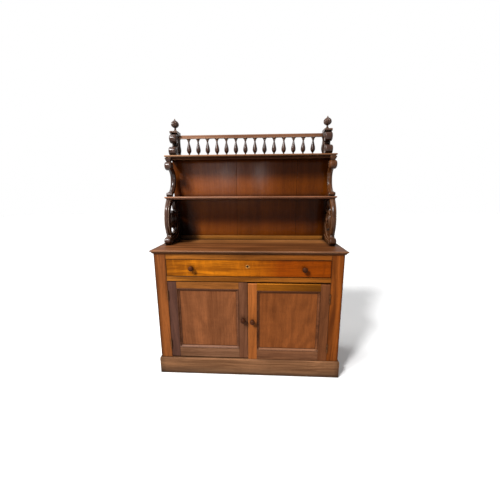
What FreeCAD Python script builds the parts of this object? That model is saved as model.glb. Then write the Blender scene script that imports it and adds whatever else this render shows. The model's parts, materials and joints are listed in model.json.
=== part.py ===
# Chiffonier: a base cupboard with a frieze drawer and two panelled doors, and above it a raised back
# with two moulded shelves on scroll brackets and a gallery of turned spindles.
# Millimetres. +X is to the right, +Y goes to the wall, +Z is up. The origin is on the floor, in the
# middle of the whole outline.
import FreeCAD, Part
import math
import os

V = FreeCAD.Vector

# Base cabinet
CARCASS_WIDTH = 1184.0
CARCASS_DEPTH = 415.0
BASE_HEIGHT = 860.0
SIDE_THICK = 20.0
STILE_WIDTH = 76.0
STILE_ROUND = 6.0
FLOOR_THICK = 20.0
BACK_THICK = 12.0
BACK_BOARD_COUNT = 4
BOARD_SEAM = 0.6
TOP_RAIL_HEIGHT = 34.0
DRAWER_RAIL_HEIGHT = 33.0
RAIL_DEPTH = 60.0
RAIL_ROUND = 5.0
STOP_LIP = 14.0
INNER_SHELF_HEIGHT = 400.0
INNER_SHELF_THICK = 18.0
INNER_SHELF_SETBACK = 62.0
BEARER_SIZE = 20.0

# Plinth
PLINTH_HEIGHT = 116.0
PLINTH_THICK = 34.0
PLINTH_PROJECTION = 9.0
PLINTH_ROUND = 7.0

# Top board of the base
TOP_THICK = 24.0
TOP_OVERHANG = 17.0
TOP_NOSE = 10.0
TOP_QUIRK = 2.5
TOP_RECESS = 15.0

# Drawer
DRAWER_OPENING = 112.0
DRAWER_GAP = 2.5
DRAWER_FOOT_GAP = 4.0
DRAWER_DEPTH = 380.0
DRAWER_FRONT_THICK = 20.0
DRAWER_SIDE_THICK = 12.0
DRAWER_BOTTOM_THICK = 8.0
DRAWER_BOTTOM_RISE = 9.0
DRAWER_GROOVE = 6.0
DRAWER_BACK_DROP = 12.0
DOVETAIL_COUNT = 3
DOVETAIL_LAP = 7.0
DOVETAIL_FLARE = 3.0
RUNNER_THICK = 20.0
RUNNER_LAP = 24.0
GUIDE_HEIGHT = 22.0
KICKER_HEIGHT = 20.0
STOP_BLOCK_WIDTH = 50.0
STOP_BLOCK_DEPTH = 25.0
STOP_BLOCK_HEIGHT = 6.0
STOP_BLOCK_SPREAD = 250.0

# Drawer lock
KEYHOLE_HEIGHT = 72.0
KEYHOLE_RADIUS = 2.6
KEYHOLE_SLOT_WIDTH = 2.8
KEYHOLE_SLOT_LENGTH = 9.0
ESCUTCHEON_WIDTH = 28.0
ESCUTCHEON_HEIGHT = 22.0
ESCUTCHEON_THICK = 1.2
LOCK_WIDTH = 64.0
LOCK_HEIGHT = 56.0
LOCK_THICK = 12.0
LOCK_BOLT_WIDTH = 16.0
LOCK_BOLT_THICK = 5.0
LOCK_BOLT_LENGTH = 26.0
LOCK_BOLT_TRAVEL = 9.0
SLIDE_CLEARANCE = 0.3

# Turned knobs
KNOB_PROJECTION = 32.0
KNOB_RADIUS = 17.0
KNOB_SPIGOT_RADIUS = 5.0
KNOB_SPIGOT_LENGTH = 12.0
DRAWER_KNOB_SPREAD = 352.0
DOOR_KNOB_RISE = 276.0

# Doors
DOOR_THICK = 22.0
DOOR_STOP_GAP = 0.8
DOOR_FOOT_GAP = 9.0
DOOR_HEAD_GAP = 2.5
DOOR_MEETING_GAP = 3.0
RIGHT_DOOR_DROP = 8.0
DOOR_STILE = 56.0
DOOR_TOP_RAIL = 45.0
DOOR_BOTTOM_RAIL = 66.0
TENON_LENGTH = 30.0
TENON_THICK = 8.0
TENON_SHOULDER = 10.0
PANEL_THICK = 8.0
PANEL_SETBACK = 9.0
PANEL_LAP = 7.0
MOULDING_WIDTH = 17.0
MOULDING_PROUD = 2.0
MOULDING_BEAD = 6.0
MOULDING_TOE = 2.0

# Butt hinges
HINGE_GAP = 2.0
HINGE_LENGTH = 62.0
HINGE_INSET = 62.0
LEAF_THICK = 1.6
LEAF_WIDTH = 19.0
LEAF_CLEARANCE = 0.4
KNUCKLE_RADIUS = 4.0
KNUCKLE_COUNT = 5
PIN_RADIUS = 1.8
PIN_CLEARANCE = 0.05
PIN_CAP_RADIUS = 3.0
PIN_CAP_HEIGHT = 2.5

# Latch behind the right door's knob, and bolt on the left door
SPINDLE_RADIUS = 4.0
TONGUE_LENGTH = 44.0
TONGUE_WIDTH = 11.0
TONGUE_THICK = 3.0
DOOR_BOLT_WIDTH = 10.0
DOOR_BOLT_THICK = 6.0
DOOR_BOLT_LENGTH = 78.0
DOOR_BOLT_TRAVEL = 12.0
DOOR_BOLT_KNOB_RADIUS = 3.5
DOOR_BOLT_KNOB_LENGTH = 7.0

# Raised back and shelves
UPPER_INSET = 19.0
BACK_PANEL_INSET = 3.0
BACK_PANEL_THICK = 14.0
BACK_PANEL_SEAM_SHARES = (0.411, 0.794)
SKIRTING_HEIGHT = 32.0
SKIRTING_THICK = 9.0
SKIRTING_ROUND = 5.0
MIDDLE_SHELF_THICK = 18.0
MIDDLE_SHELF_DEPTH = 179.0
MIDDLE_SHELF_OVERHANG = 8.0
MIDDLE_SHELF_NOSE = 10.0
MIDDLE_SHELF_QUIRK = 1.5
MIDDLE_SHELF_RECESS = 8.0
TOP_SHELF_THICK = 16.0
TOP_SHELF_DEPTH = 151.0
TOP_SHELF_OVERHANG = 5.0
TOP_SHELF_NOSE = 11.0
TOP_SHELF_QUIRK = 1.5
TOP_SHELF_RECESS = 6.0
COVE_HEIGHT = 11.0
COVE_WIDTH = 15.0
COVE_INSET = 5.0
COVE_TOE = 4.0

# Scroll brackets: reach is measured forward from the back panel, height up from the board below
BRACKET_THICK = 37.0
ROLL_PROUD = 3.0
ROLL_RIM_SHARE = 0.3
ROLL_SKIN = 0.5
LOWER_REACH = 250.0
LOWER_HEIGHT = 305.0
LOWER_FOOT_ROLL = 26.0
LOWER_VOLUTE = 66.0
LOWER_EYE = 24.0
LOWER_ROLL_ANGLE = 115.0
LOWER_VOLUTE_SHARES = (0.472, 0.548)
LOWER_VOLUTE_ANGLES = (20.0, 86.0, 152.0)
LOWER_CRESCENT_ANGLES = (-30.0, -75.0, -118.0)
LOWER_BELLY_SHARES = ((0.812, 0.2), (0.9, 0.3), (0.955, 0.5), (0.9, 0.745), (0.81, 0.89), (0.69, 1.0))
LOWER_STEM_SHARES = ((0.0, 0.955), (0.3, 0.95), (0.47, 0.92), (0.6, 0.85), (0.685, 0.755))
LOWER_TAIL_SHARES = ((0.12, 0.63), (0.0, 0.69))
LOWER_HOLE_SHARES = ((0.335, 0.28), (0.42, 0.235), (0.62, 0.23), (0.72, 0.3))
UPPER_REACH = 152.0
UPPER_HEIGHT = 248.0
UPPER_NECK = 13.0
UPPER_NECK_REACH = 14.0
UPPER_FOOT_ROLL = 14.0
UPPER_ROLL = 29.0
UPPER_ROLL_PROUD = 8.0
UPPER_ROLL_INSET = 6.0
UPPER_FOOT_ANGLE = 105.0
UPPER_ROLL_ANGLES = (225.0, -10.0)
UPPER_WAIST_SHARES = ((0.66, 0.171), (0.45, 0.313), (0.36, 0.502), (0.42, 0.635))
UPPER_REAR_SHARES = ((0.55, 1.0), (0.5, 0.834), (0.26, 0.673), (0.184, 0.502), (0.293, 0.258), (0.54, 0.089),
                     (0.74, 0.0))

# Gallery
POST_INSET = 71.5
POST_THICK = 50.0
POST_REACH = 135.0
POST_HEIGHT = 168.0
POST_FOOT_ROLL = 30.0
POST_ROLL = 30.0
POST_ROLL_PROUD = 2.0
POST_FOOT_ANGLE = 105.0
POST_ROLL_ANGLES = (225.0, -20.0, 100.0)
POST_ROLL_SHARES = (0.6, 0.68)
POST_WAIST_SHARES = ((0.52, 0.38), (0.38, 0.44), (0.35, 0.5))
POST_NECK_SHARES = ((0.48, 0.87), (0.48, 0.895), (0.61, 0.93), (0.61, 1.0))
GALLERY_SETBACK = 33.0
RAIL_BASE_HEIGHT = 123.0
RAIL_THICK = 22.0
RAIL_WIDTH = 24.0
RAIL_EDGE_ROUND = 6.0
SPINDLE_COUNT = 14
SPINDLE_BELLY = 16.0
SPINDLE_SHARES = ((0.66, 0.0), (0.7, 0.06), (0.4, 0.14), (0.56, 0.2), (1.0, 0.36),
                  (0.84, 0.52), (0.54, 0.68), (0.4, 0.81), (0.52, 0.91), (1.1, 1.0))
FINIAL_HEIGHT = 88.0
FINIAL_RADIUS = 29.0
FINIAL_SHARES = ((0.6, 0.0), (0.54, 0.05), (0.32, 0.16), (0.22, 0.25), (0.34, 0.31), (0.78, 0.39),
                 (1.0, 0.54), (0.86, 0.69), (0.48, 0.79), (0.22, 0.84), (0.15, 0.9), (0.0, 1.0))
KNOB_SHARES = ((0.62, 0.0), (0.58, 0.12), (0.4, 0.3), (0.52, 0.45), (0.92, 0.57), (0.985, 0.69), (0.86, 0.84),
               (0.5, 0.96), (0.0, 1.0))

OVERRUN = 4.0
FULL_TURN = 360.0
HALF_TURN = FULL_TURN / 2
QUARTER_TURN = FULL_TURN / 4
DIAGONAL = math.sqrt(0.5)

# Planes that several pieces share
HALF_WIDTH = CARCASS_WIDTH / 2
UPPER_HALF_WIDTH = HALF_WIDTH - UPPER_INSET
BACK_PANEL_HALF_WIDTH = UPPER_HALF_WIDTH - BACK_PANEL_INSET
POST_INNER_HALF = UPPER_HALF_WIDTH - POST_INSET
FACE_Y = (KNOB_PROJECTION - CARCASS_DEPTH) / 2
BACK_Y = FACE_Y + CARCASS_DEPTH
OPENING_HALF = HALF_WIDTH - STILE_WIDTH
SIDE_INNER = HALF_WIDTH - SIDE_THICK
STILE_BACK_Y = FACE_Y + DOOR_THICK + DOOR_STOP_GAP
RAIL_BACK_Y = FACE_Y + RAIL_DEPTH
BOARDS_Y = BACK_Y - BACK_THICK
TOP_UNDER = BASE_HEIGHT - TOP_THICK
DRAWER_HEAD = TOP_UNDER - TOP_RAIL_HEIGHT
DRAWER_SILL = DRAWER_HEAD - DRAWER_OPENING
DOOR_HEAD = DRAWER_SILL - DRAWER_RAIL_HEIGHT
PANEL_FACE_Y = BACK_Y - BACK_PANEL_THICK
MIDDLE_UNDER = BASE_HEIGHT + LOWER_HEIGHT
MIDDLE_TOP = MIDDLE_UNDER + MIDDLE_SHELF_THICK
COVE_UNDER = MIDDLE_TOP + UPPER_HEIGHT
TOP_SHELF_UNDER = COVE_UNDER + COVE_HEIGHT
TOP_SHELF_TOP = TOP_SHELF_UNDER + TOP_SHELF_THICK
BRACKET_INNER = UPPER_HALF_WIDTH - BRACKET_THICK
GALLERY_Y = BACK_Y - GALLERY_SETBACK


def box(x0, x1, y0, y1, z0, z1):
    return Part.makeBox(x1 - x0, y1 - y0, z1 - z0, V(x0, y0, z0))


def mirrored(shape):
    return shape.mirror(V(0, 0, 0), V(1, 0, 0))


def line(a, b):
    return Part.LineSegment(a, b).toShape()


def arc(a, through, b):
    return Part.Arc(a, through, b).toShape()


def flow(points):
    curve = Part.BSplineCurve()
    curve.interpolate(points)
    return curve.toShape()


def prism(edges, run):
    return Part.Face(Part.Wire(Part.__sortEdges__(edges))).extrude(run)


def polygon_prism(points, run):
    return Part.Face(Part.makePolygon(points + points[:1])).extrude(run)


def polar(centre, radius, degrees):
    angle = math.radians(degrees)
    return (centre[0] + radius * math.cos(angle), centre[1] + radius * math.sin(angle))


def scaled(shares, reach, height):
    return [(u * reach, v * height) for u, v in shares]


def turned(shares, radius, height, degrees=FULL_TURN):
    """Solid of revolution about Z, from z = 0 up, through points given as shares of radius and height."""
    rim = [V(r * radius, 0, h * height) for r, h in shares]
    edges = [flow(rim), line(V(0, 0, 0), rim[0])]
    if rim[-1].x > 0:
        edges += [line(rim[-1], V(0, 0, height)), line(V(0, 0, height), V(0, 0, 0))]
    else:
        edges.append(line(rim[-1], V(0, 0, 0)))
    section = Part.Face(Part.Wire(Part.__sortEdges__(edges)))
    return section.revolve(V(0, 0, 0), V(0, 0, 1), degrees)


def edge_profile(place, thick, nose, quirk, recess, inner):
    """Edges of a board's moulded end: a rounded nose over an ovolo, closed off at the inner distance.

    place(inset, height) gives a point of the section.
    """
    radius = nose / 2
    bow = recess * DIAGONAL
    neck = thick - nose
    drop = neck * DIAGONAL
    return [
        line(place(inner, 0), place(inner, thick)),
        line(place(inner, thick), place(radius, thick)),
        arc(place(radius, thick), place(0, thick - radius), place(radius, neck)),
        line(place(radius, neck), place(radius + quirk, neck)),
        arc(place(radius + quirk, neck), place(radius + quirk + recess - bow, neck - drop),
            place(radius + quirk + recess, 0)),
        line(place(radius + quirk + recess, 0), place(inner, 0)),
    ]


def moulded_board(half_width, front, back, bottom, thick, nose, quirk, recess):
    """Board with the edge moulding on its front and both ends, mitred where the runs meet."""
    across = prism(edge_profile(lambda i, h: V(-half_width, front + i, bottom + h),
                                thick, nose, quirk, recess, back - front), V(2 * half_width, 0, 0))
    right = prism(edge_profile(lambda i, h: V(half_width - i, front, bottom + h),
                               thick, nose, quirk, recess, half_width), V(0, back - front, 0))
    return across.common(right.fuse(mirrored(right)).removeSplitter())


def bracket_place(x, y_back, z_base):
    """Turns a list of (reach, height) pairs of a bracket's side view into points in space."""
    return lambda points: [V(x, y_back - u, z_base + v) for u, v in points]


def scroll_roll(place, centre, radius, thick, proud):
    """Roll with rounded rims that stands proud of both faces of a bracket."""
    hub = place([centre])[0]
    round_size = radius - ROLL_SKIN
    roll = Part.makeCylinder(round_size, thick + 2 * proud, V(hub.x - proud, hub.y, hub.z), V(1, 0, 0))
    rims = [edge for edge in roll.Edges if edge.BoundBox.XLength < proud]
    return roll.makeFillet(round_size * ROLL_RIM_SHARE, rims)


# Plinth

def plinth_profile(place):
    """Section of a plinth board with its top outer edge rounded over."""
    bend = PLINTH_ROUND * (1 - DIAGONAL)
    return [
        line(place(PLINTH_THICK, 0), place(0, 0)),
        line(place(0, 0), place(0, PLINTH_HEIGHT - PLINTH_ROUND)),
        arc(place(0, PLINTH_HEIGHT - PLINTH_ROUND), place(bend, PLINTH_HEIGHT - bend),
            place(PLINTH_ROUND, PLINTH_HEIGHT)),
        line(place(PLINTH_ROUND, PLINTH_HEIGHT), place(PLINTH_THICK, PLINTH_HEIGHT)),
        line(place(PLINTH_THICK, PLINTH_HEIGHT), place(PLINTH_THICK, 0)),
    ]


def plinth_front():
    outer = HALF_WIDTH + PLINTH_PROJECTION
    inner = outer - PLINTH_THICK
    front = FACE_Y - PLINTH_PROJECTION
    back = front + PLINTH_THICK
    board = prism(plinth_profile(lambda i, h: V(-outer, front + i, h)), V(2 * outer, 0, 0))
    plan = [V(-outer, front, 0), V(outer, front, 0), V(inner, back, 0), V(-inner, back, 0)]
    return board.common(polygon_prism(plan, V(0, 0, PLINTH_HEIGHT)))


def plinth_return():
    outer = HALF_WIDTH + PLINTH_PROJECTION
    inner = outer - PLINTH_THICK
    front = FACE_Y - PLINTH_PROJECTION
    board = prism(plinth_profile(lambda i, h: V(outer - i, front, h)), V(0, BACK_Y - front, 0))
    plan = [V(outer, front, 0), V(outer, BACK_Y, 0), V(inner, BACK_Y, 0), V(inner, front + PLINTH_THICK, 0)]
    return board.common(polygon_prism(plan, V(0, 0, PLINTH_HEIGHT)))


def plinth_back():
    inner = HALF_WIDTH + PLINTH_PROJECTION - PLINTH_THICK
    return box(-inner, inner, BACK_Y - PLINTH_THICK, BACK_Y, 0, PLINTH_HEIGHT)


# Carcass

def carcass_side():
    return box(SIDE_INNER, HALF_WIDTH, STILE_BACK_Y, BOARDS_Y, PLINTH_HEIGHT, TOP_UNDER)


def front_stile(drop):
    """Right-hand stile with its outer arris rounded and the hinge leaves let into its inner edge."""
    bend = STILE_ROUND * (1 - DIAGONAL)
    z = PLINTH_HEIGHT
    stile = prism([
        line(V(OPENING_HALF, STILE_BACK_Y, z), V(OPENING_HALF, FACE_Y, z)),
        line(V(OPENING_HALF, FACE_Y, z), V(HALF_WIDTH - STILE_ROUND, FACE_Y, z)),
        arc(V(HALF_WIDTH - STILE_ROUND, FACE_Y, z), V(HALF_WIDTH - bend, FACE_Y + bend, z),
            V(HALF_WIDTH, FACE_Y + STILE_ROUND, z)),
        line(V(HALF_WIDTH, FACE_Y + STILE_ROUND, z), V(HALF_WIDTH, STILE_BACK_Y, z)),
        line(V(HALF_WIDTH, STILE_BACK_Y, z), V(OPENING_HALF, STILE_BACK_Y, z)),
    ], V(0, 0, TOP_UNDER - z))
    for base in hinge_bases(drop):
        stile = stile.cut(leaf_plate(base, fixed=True))
    return stile


def carcass_floor():
    return box(-SIDE_INNER, SIDE_INNER, STILE_BACK_Y, BOARDS_Y, PLINTH_HEIGHT, PLINTH_HEIGHT + FLOOR_THICK)


def carcass_back_boards():
    pitch = CARCASS_WIDTH / BACK_BOARD_COUNT
    boards = []
    for number in range(BACK_BOARD_COUNT):
        x0 = -HALF_WIDTH + number * pitch
        boards.append(box(x0 + BOARD_SEAM / 2, x0 + pitch - BOARD_SEAM / 2, BOARDS_Y, BACK_Y,
                          PLINTH_HEIGHT, TOP_UNDER))
    return Part.makeCompound(boards)


def top_rail():
    """Rail over the drawer, with the mortise that takes the lock bolt."""
    rail = box(-OPENING_HALF, OPENING_HALF, FACE_Y, RAIL_BACK_Y, DRAWER_HEAD, TOP_UNDER)
    return rail.cut(lock_bolt_path(DRAWER_HEAD - OVERRUN, DRAWER_HEAD + LOCK_BOLT_TRAVEL + SLIDE_CLEARANCE))


def drawer_rail():
    """Rail between drawer and doors: rounded nose in front, stop lip for the doors behind."""
    x = -OPENING_HALF
    bend = RAIL_ROUND * (1 - DIAGONAL)
    high = DRAWER_SILL
    low = DOOR_HEAD
    rail = prism([
        line(V(x, RAIL_BACK_Y, high), V(x, FACE_Y + RAIL_ROUND, high)),
        arc(V(x, FACE_Y + RAIL_ROUND, high), V(x, FACE_Y + bend, high - bend),
            V(x, FACE_Y, high - RAIL_ROUND)),
        line(V(x, FACE_Y, high - RAIL_ROUND), V(x, FACE_Y, low + RAIL_ROUND)),
        arc(V(x, FACE_Y, low + RAIL_ROUND), V(x, FACE_Y + bend, low + bend),
            V(x, FACE_Y + RAIL_ROUND, low)),
        line(V(x, FACE_Y + RAIL_ROUND, low), V(x, STILE_BACK_Y, low)),
        line(V(x, STILE_BACK_Y, low), V(x, STILE_BACK_Y, low - STOP_LIP)),
        line(V(x, STILE_BACK_Y, low - STOP_LIP), V(x, RAIL_BACK_Y, low - STOP_LIP)),
        line(V(x, RAIL_BACK_Y, low - STOP_LIP), V(x, RAIL_BACK_Y, high)),
    ], V(2 * OPENING_HALF, 0, 0))
    head = DOOR_HEAD - DOOR_HEAD_GAP
    return rail.cut(door_bolt_path(low - OVERRUN, head + DOOR_BOLT_TRAVEL + SLIDE_CLEARANCE))


def drawer_runner():
    """Right-hand runner: the drawer side slides on its tongue, and its upstand guides it."""
    x0 = OPENING_HALF - RUNNER_LAP
    z0 = DRAWER_SILL - RUNNER_THICK
    z1 = DRAWER_SILL + GUIDE_HEIGHT
    y = RAIL_BACK_Y
    section = [V(x0, y, z0), V(SIDE_INNER, y, z0), V(SIDE_INNER, y, z1), V(OPENING_HALF, y, z1),
               V(OPENING_HALF, y, DRAWER_SILL), V(x0, y, DRAWER_SILL)]
    return polygon_prism(section, V(0, BOARDS_Y - y, 0))


def drawer_kicker():
    """Right-hand kicker, which keeps the open drawer from tipping."""
    return box(OPENING_HALF - RUNNER_LAP, SIDE_INNER, RAIL_BACK_Y, BOARDS_Y, DRAWER_HEAD,
               DRAWER_HEAD + KICKER_HEIGHT)


def drawer_stop():
    y0 = FACE_Y + DRAWER_FRONT_THICK
    return box(STOP_BLOCK_SPREAD - STOP_BLOCK_WIDTH / 2, STOP_BLOCK_SPREAD + STOP_BLOCK_WIDTH / 2,
               y0, y0 + STOP_BLOCK_DEPTH, DRAWER_SILL, DRAWER_SILL + STOP_BLOCK_HEIGHT)


def inner_shelf():
    return box(-SIDE_INNER, SIDE_INNER, FACE_Y + INNER_SHELF_SETBACK, BOARDS_Y, INNER_SHELF_HEIGHT,
               INNER_SHELF_HEIGHT + INNER_SHELF_THICK)


def shelf_bearer():
    return box(SIDE_INNER - BEARER_SIZE, SIDE_INNER, FACE_Y + INNER_SHELF_SETBACK, BOARDS_Y,
               INNER_SHELF_HEIGHT - BEARER_SIZE, INNER_SHELF_HEIGHT)


def top_board():
    return moulded_board(HALF_WIDTH + TOP_OVERHANG, FACE_Y - TOP_OVERHANG, BACK_Y, TOP_UNDER, TOP_THICK,
                         TOP_NOSE, TOP_QUIRK, TOP_RECESS)


# Knobs

def knob(x, z):
    """Mushroom knob on the front face, with the spigot that is glued into the wood behind it."""
    head = turned(KNOB_SHARES, KNOB_RADIUS, KNOB_PROJECTION)
    spigot = Part.makeCylinder(KNOB_SPIGOT_RADIUS, KNOB_SPIGOT_LENGTH, V(0, 0, -KNOB_SPIGOT_LENGTH))
    body = head.fuse(spigot).removeSplitter()
    body.rotate(V(0, 0, 0), V(1, 0, 0), QUARTER_TURN)
    body.translate(V(x, FACE_Y, z))
    return body


def spigot_hole(x, z):
    return Part.makeCylinder(KNOB_SPIGOT_RADIUS, KNOB_SPIGOT_LENGTH, V(x, FACE_Y, z), V(0, 1, 0))


# Drawer

DRAWER_HALF = OPENING_HALF - DRAWER_GAP
DRAWER_LOW = DRAWER_SILL + DRAWER_FOOT_GAP
DRAWER_HIGH = DRAWER_HEAD - DRAWER_GAP
DRAWER_FRONT_BACK_Y = FACE_Y + DRAWER_FRONT_THICK
DRAWER_END_Y = FACE_Y + DRAWER_DEPTH
DRAWER_SIDE_INNER = DRAWER_HALF - DRAWER_SIDE_THICK
DRAWER_FLOOR = DRAWER_SILL + DRAWER_BOTTOM_RISE
DRAWER_KNOB_Z = (DRAWER_SILL + DRAWER_HEAD) / 2
KEYHOLE_Z = DRAWER_SILL + KEYHOLE_HEIGHT
LOCK_FACE_Y = DRAWER_FRONT_BACK_Y - LOCK_THICK
LOCK_BOLT_Y = LOCK_FACE_Y + (LOCK_THICK - LOCK_BOLT_THICK) / 2


def dovetails():
    """Right-hand row of tails, which spread towards the drawer's face."""
    pitch = (DRAWER_HIGH - DRAWER_SILL) / DOVETAIL_COUNT
    neck = pitch / 2 - DOVETAIL_FLARE
    y0 = FACE_Y + DOVETAIL_LAP
    y1 = DRAWER_FRONT_BACK_Y
    tails = []
    for number in range(DOVETAIL_COUNT):
        z = DRAWER_SILL + (number + 0.5) * pitch
        section = [V(DRAWER_SIDE_INNER, y1, z - neck / 2), V(DRAWER_SIDE_INNER, y1, z + neck / 2),
                   V(DRAWER_SIDE_INNER, y0, z + neck / 2 + DOVETAIL_FLARE),
                   V(DRAWER_SIDE_INNER, y0, z - neck / 2 - DOVETAIL_FLARE)]
        tails.append(polygon_prism(section, V(DRAWER_SIDE_THICK, 0, 0)))
    return tails


def drawer_bottom():
    reach = DRAWER_SIDE_INNER + DRAWER_GROOVE
    return box(-reach, reach, DRAWER_FRONT_BACK_Y - DRAWER_GROOVE, DRAWER_END_Y, DRAWER_FLOOR,
               DRAWER_FLOOR + DRAWER_BOTTOM_THICK)


def drawer_side():
    """Right-hand side, resting on its runner."""
    side = box(DRAWER_SIDE_INNER, DRAWER_HALF, DRAWER_FRONT_BACK_Y, DRAWER_END_Y, DRAWER_SILL, DRAWER_HIGH)
    return side.fuse(dovetails()).cut(drawer_bottom()).removeSplitter()


def drawer_back():
    return box(-DRAWER_SIDE_INNER, DRAWER_SIDE_INNER, DRAWER_END_Y - DRAWER_SIDE_THICK, DRAWER_END_Y,
               DRAWER_FLOOR + DRAWER_BOTTOM_THICK, DRAWER_HIGH - DRAWER_BACK_DROP)


def keyhole(y0, y1):
    """Round eye over a slot, as a cutter from y0 to y1."""
    eye = Part.makeCylinder(KEYHOLE_RADIUS, y1 - y0, V(0, y0, KEYHOLE_Z), V(0, 1, 0))
    slot = box(-KEYHOLE_SLOT_WIDTH / 2, KEYHOLE_SLOT_WIDTH / 2, y0, y1, KEYHOLE_Z - KEYHOLE_SLOT_LENGTH,
               KEYHOLE_Z)
    return eye.fuse(slot)


def lock_recess():
    return box(-LOCK_WIDTH / 2, LOCK_WIDTH / 2, LOCK_FACE_Y, DRAWER_FRONT_BACK_Y, DRAWER_HIGH - LOCK_HEIGHT,
               DRAWER_HIGH)


def lock_bolt_path(z0, z1):
    half = LOCK_BOLT_WIDTH / 2 + SLIDE_CLEARANCE
    y0 = LOCK_BOLT_Y - SLIDE_CLEARANCE
    y1 = LOCK_BOLT_Y + LOCK_BOLT_THICK + SLIDE_CLEARANCE
    return box(-half, half, y0, y1, z0, z1)


def drawer_front():
    front = box(-DRAWER_HALF, DRAWER_HALF, FACE_Y, DRAWER_FRONT_BACK_Y, DRAWER_LOW, DRAWER_HIGH)
    tails = dovetails()
    front = front.cut(tails + [mirrored(tail) for tail in tails])
    front = front.cut([drawer_bottom(), lock_recess(), keyhole(FACE_Y, LOCK_FACE_Y)])
    return front.cut([spigot_hole(x, DRAWER_KNOB_Z) for x in (-DRAWER_KNOB_SPREAD, DRAWER_KNOB_SPREAD)])


def drawer_escutcheon():
    """Oval keyhole plate on the drawer's face."""
    oval = Part.Ellipse(V(0, 0, 0), ESCUTCHEON_WIDTH / 2, ESCUTCHEON_HEIGHT / 2).toShape()
    plate = Part.Face(Part.Wire(oval)).extrude(V(0, 0, ESCUTCHEON_THICK))
    plate.rotate(V(0, 0, 0), V(1, 0, 0), QUARTER_TURN)
    plate.translate(V(0, FACE_Y, KEYHOLE_Z - KEYHOLE_SLOT_LENGTH / 3))
    return plate.cut(keyhole(FACE_Y - ESCUTCHEON_THICK - OVERRUN, FACE_Y))


def drawer_lock_case():
    path = lock_bolt_path(DRAWER_HIGH - LOCK_BOLT_LENGTH - SLIDE_CLEARANCE, DRAWER_HIGH + OVERRUN)
    return lock_recess().cut([path, keyhole(LOCK_FACE_Y - OVERRUN, LOCK_BOLT_Y - SLIDE_CLEARANCE)])


def drawer_lock_bolt():
    half = LOCK_BOLT_WIDTH / 2
    return box(-half, half, LOCK_BOLT_Y, LOCK_BOLT_Y + LOCK_BOLT_THICK, DRAWER_HIGH - LOCK_BOLT_LENGTH,
               DRAWER_HIGH)


# Doors: each piece is made for the right-hand opening, at the height of the left door

DOOR_LOW = PLINTH_HEIGHT + DOOR_FOOT_GAP
DOOR_HIGH = DOOR_HEAD - DOOR_HEAD_GAP
DOOR_HINGE_X = OPENING_HALF - HINGE_GAP
DOOR_MEETING_X = DOOR_MEETING_GAP / 2
DOOR_BACK_Y = FACE_Y + DOOR_THICK
PANEL_LEFT = DOOR_MEETING_X + DOOR_STILE
PANEL_RIGHT = DOOR_HINGE_X - DOOR_STILE
PANEL_LOW = DOOR_LOW + DOOR_BOTTOM_RAIL
PANEL_HIGH = DOOR_HIGH - DOOR_TOP_RAIL
PANEL_Y = FACE_Y + PANEL_SETBACK
DOOR_KNOB_X = DOOR_MEETING_X + DOOR_STILE / 2
DOOR_KNOB_Z = DOOR_LOW + DOOR_KNOB_RISE
HINGE_AXIS_X = OPENING_HALF - HINGE_GAP / 2
HINGE_AXIS_Y = FACE_Y - KNUCKLE_RADIUS - LEAF_CLEARANCE


def door_panel():
    return box(PANEL_LEFT - PANEL_LAP, PANEL_RIGHT + PANEL_LAP, PANEL_Y, PANEL_Y + PANEL_THICK,
               PANEL_LOW - PANEL_LAP, PANEL_HIGH + PANEL_LAP)


def door_rail(z0, z1):
    """Rail between the stiles with a tenon at each end, grooved for the panel."""
    y0 = FACE_Y + (DOOR_THICK - TENON_THICK) / 2
    tenon = box(PANEL_LEFT - TENON_LENGTH, PANEL_RIGHT + TENON_LENGTH, y0, y0 + TENON_THICK,
                z0 + TENON_SHOULDER, z1 - TENON_SHOULDER)
    rail = box(PANEL_LEFT, PANEL_RIGHT, FACE_Y, DOOR_BACK_Y, z0, z1)
    return rail.fuse(tenon).cut(door_panel()).removeSplitter()


def door_top_rail():
    return door_rail(PANEL_HIGH, DOOR_HIGH)


def door_bottom_rail():
    return door_rail(DOOR_LOW, PANEL_LOW)


def door_stile(x0):
    stile = box(x0, x0 + DOOR_STILE, FACE_Y, DOOR_BACK_Y, DOOR_LOW, DOOR_HIGH)
    return stile.cut([door_panel(), door_top_rail(), door_bottom_rail()])


def door_hinge_stile():
    stile = door_stile(PANEL_RIGHT)
    for base in hinge_bases(0):
        stile = stile.cut(leaf_plate(base, fixed=False))
    return stile


def moulding_section(place):
    """Bolection bead and hollow, from the frame's edge (0) down to the panel at the moulding's width."""
    bead = MOULDING_BEAD / 2
    spring = bead - MOULDING_PROUD
    floor = PANEL_SETBACK
    middle = (MOULDING_BEAD + MOULDING_WIDTH) / 2
    return [
        line(place(0, floor), place(0, spring)),
        arc(place(0, spring), place(bead, -MOULDING_PROUD), place(MOULDING_BEAD, spring)),
        arc(place(MOULDING_BEAD, spring), place(middle, floor - 2 * MOULDING_TOE),
            place(MOULDING_WIDTH, floor - MOULDING_TOE)),
        line(place(MOULDING_WIDTH, floor - MOULDING_TOE), place(MOULDING_WIDTH, floor)),
        line(place(MOULDING_WIDTH, floor), place(0, floor)),
    ]


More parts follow.
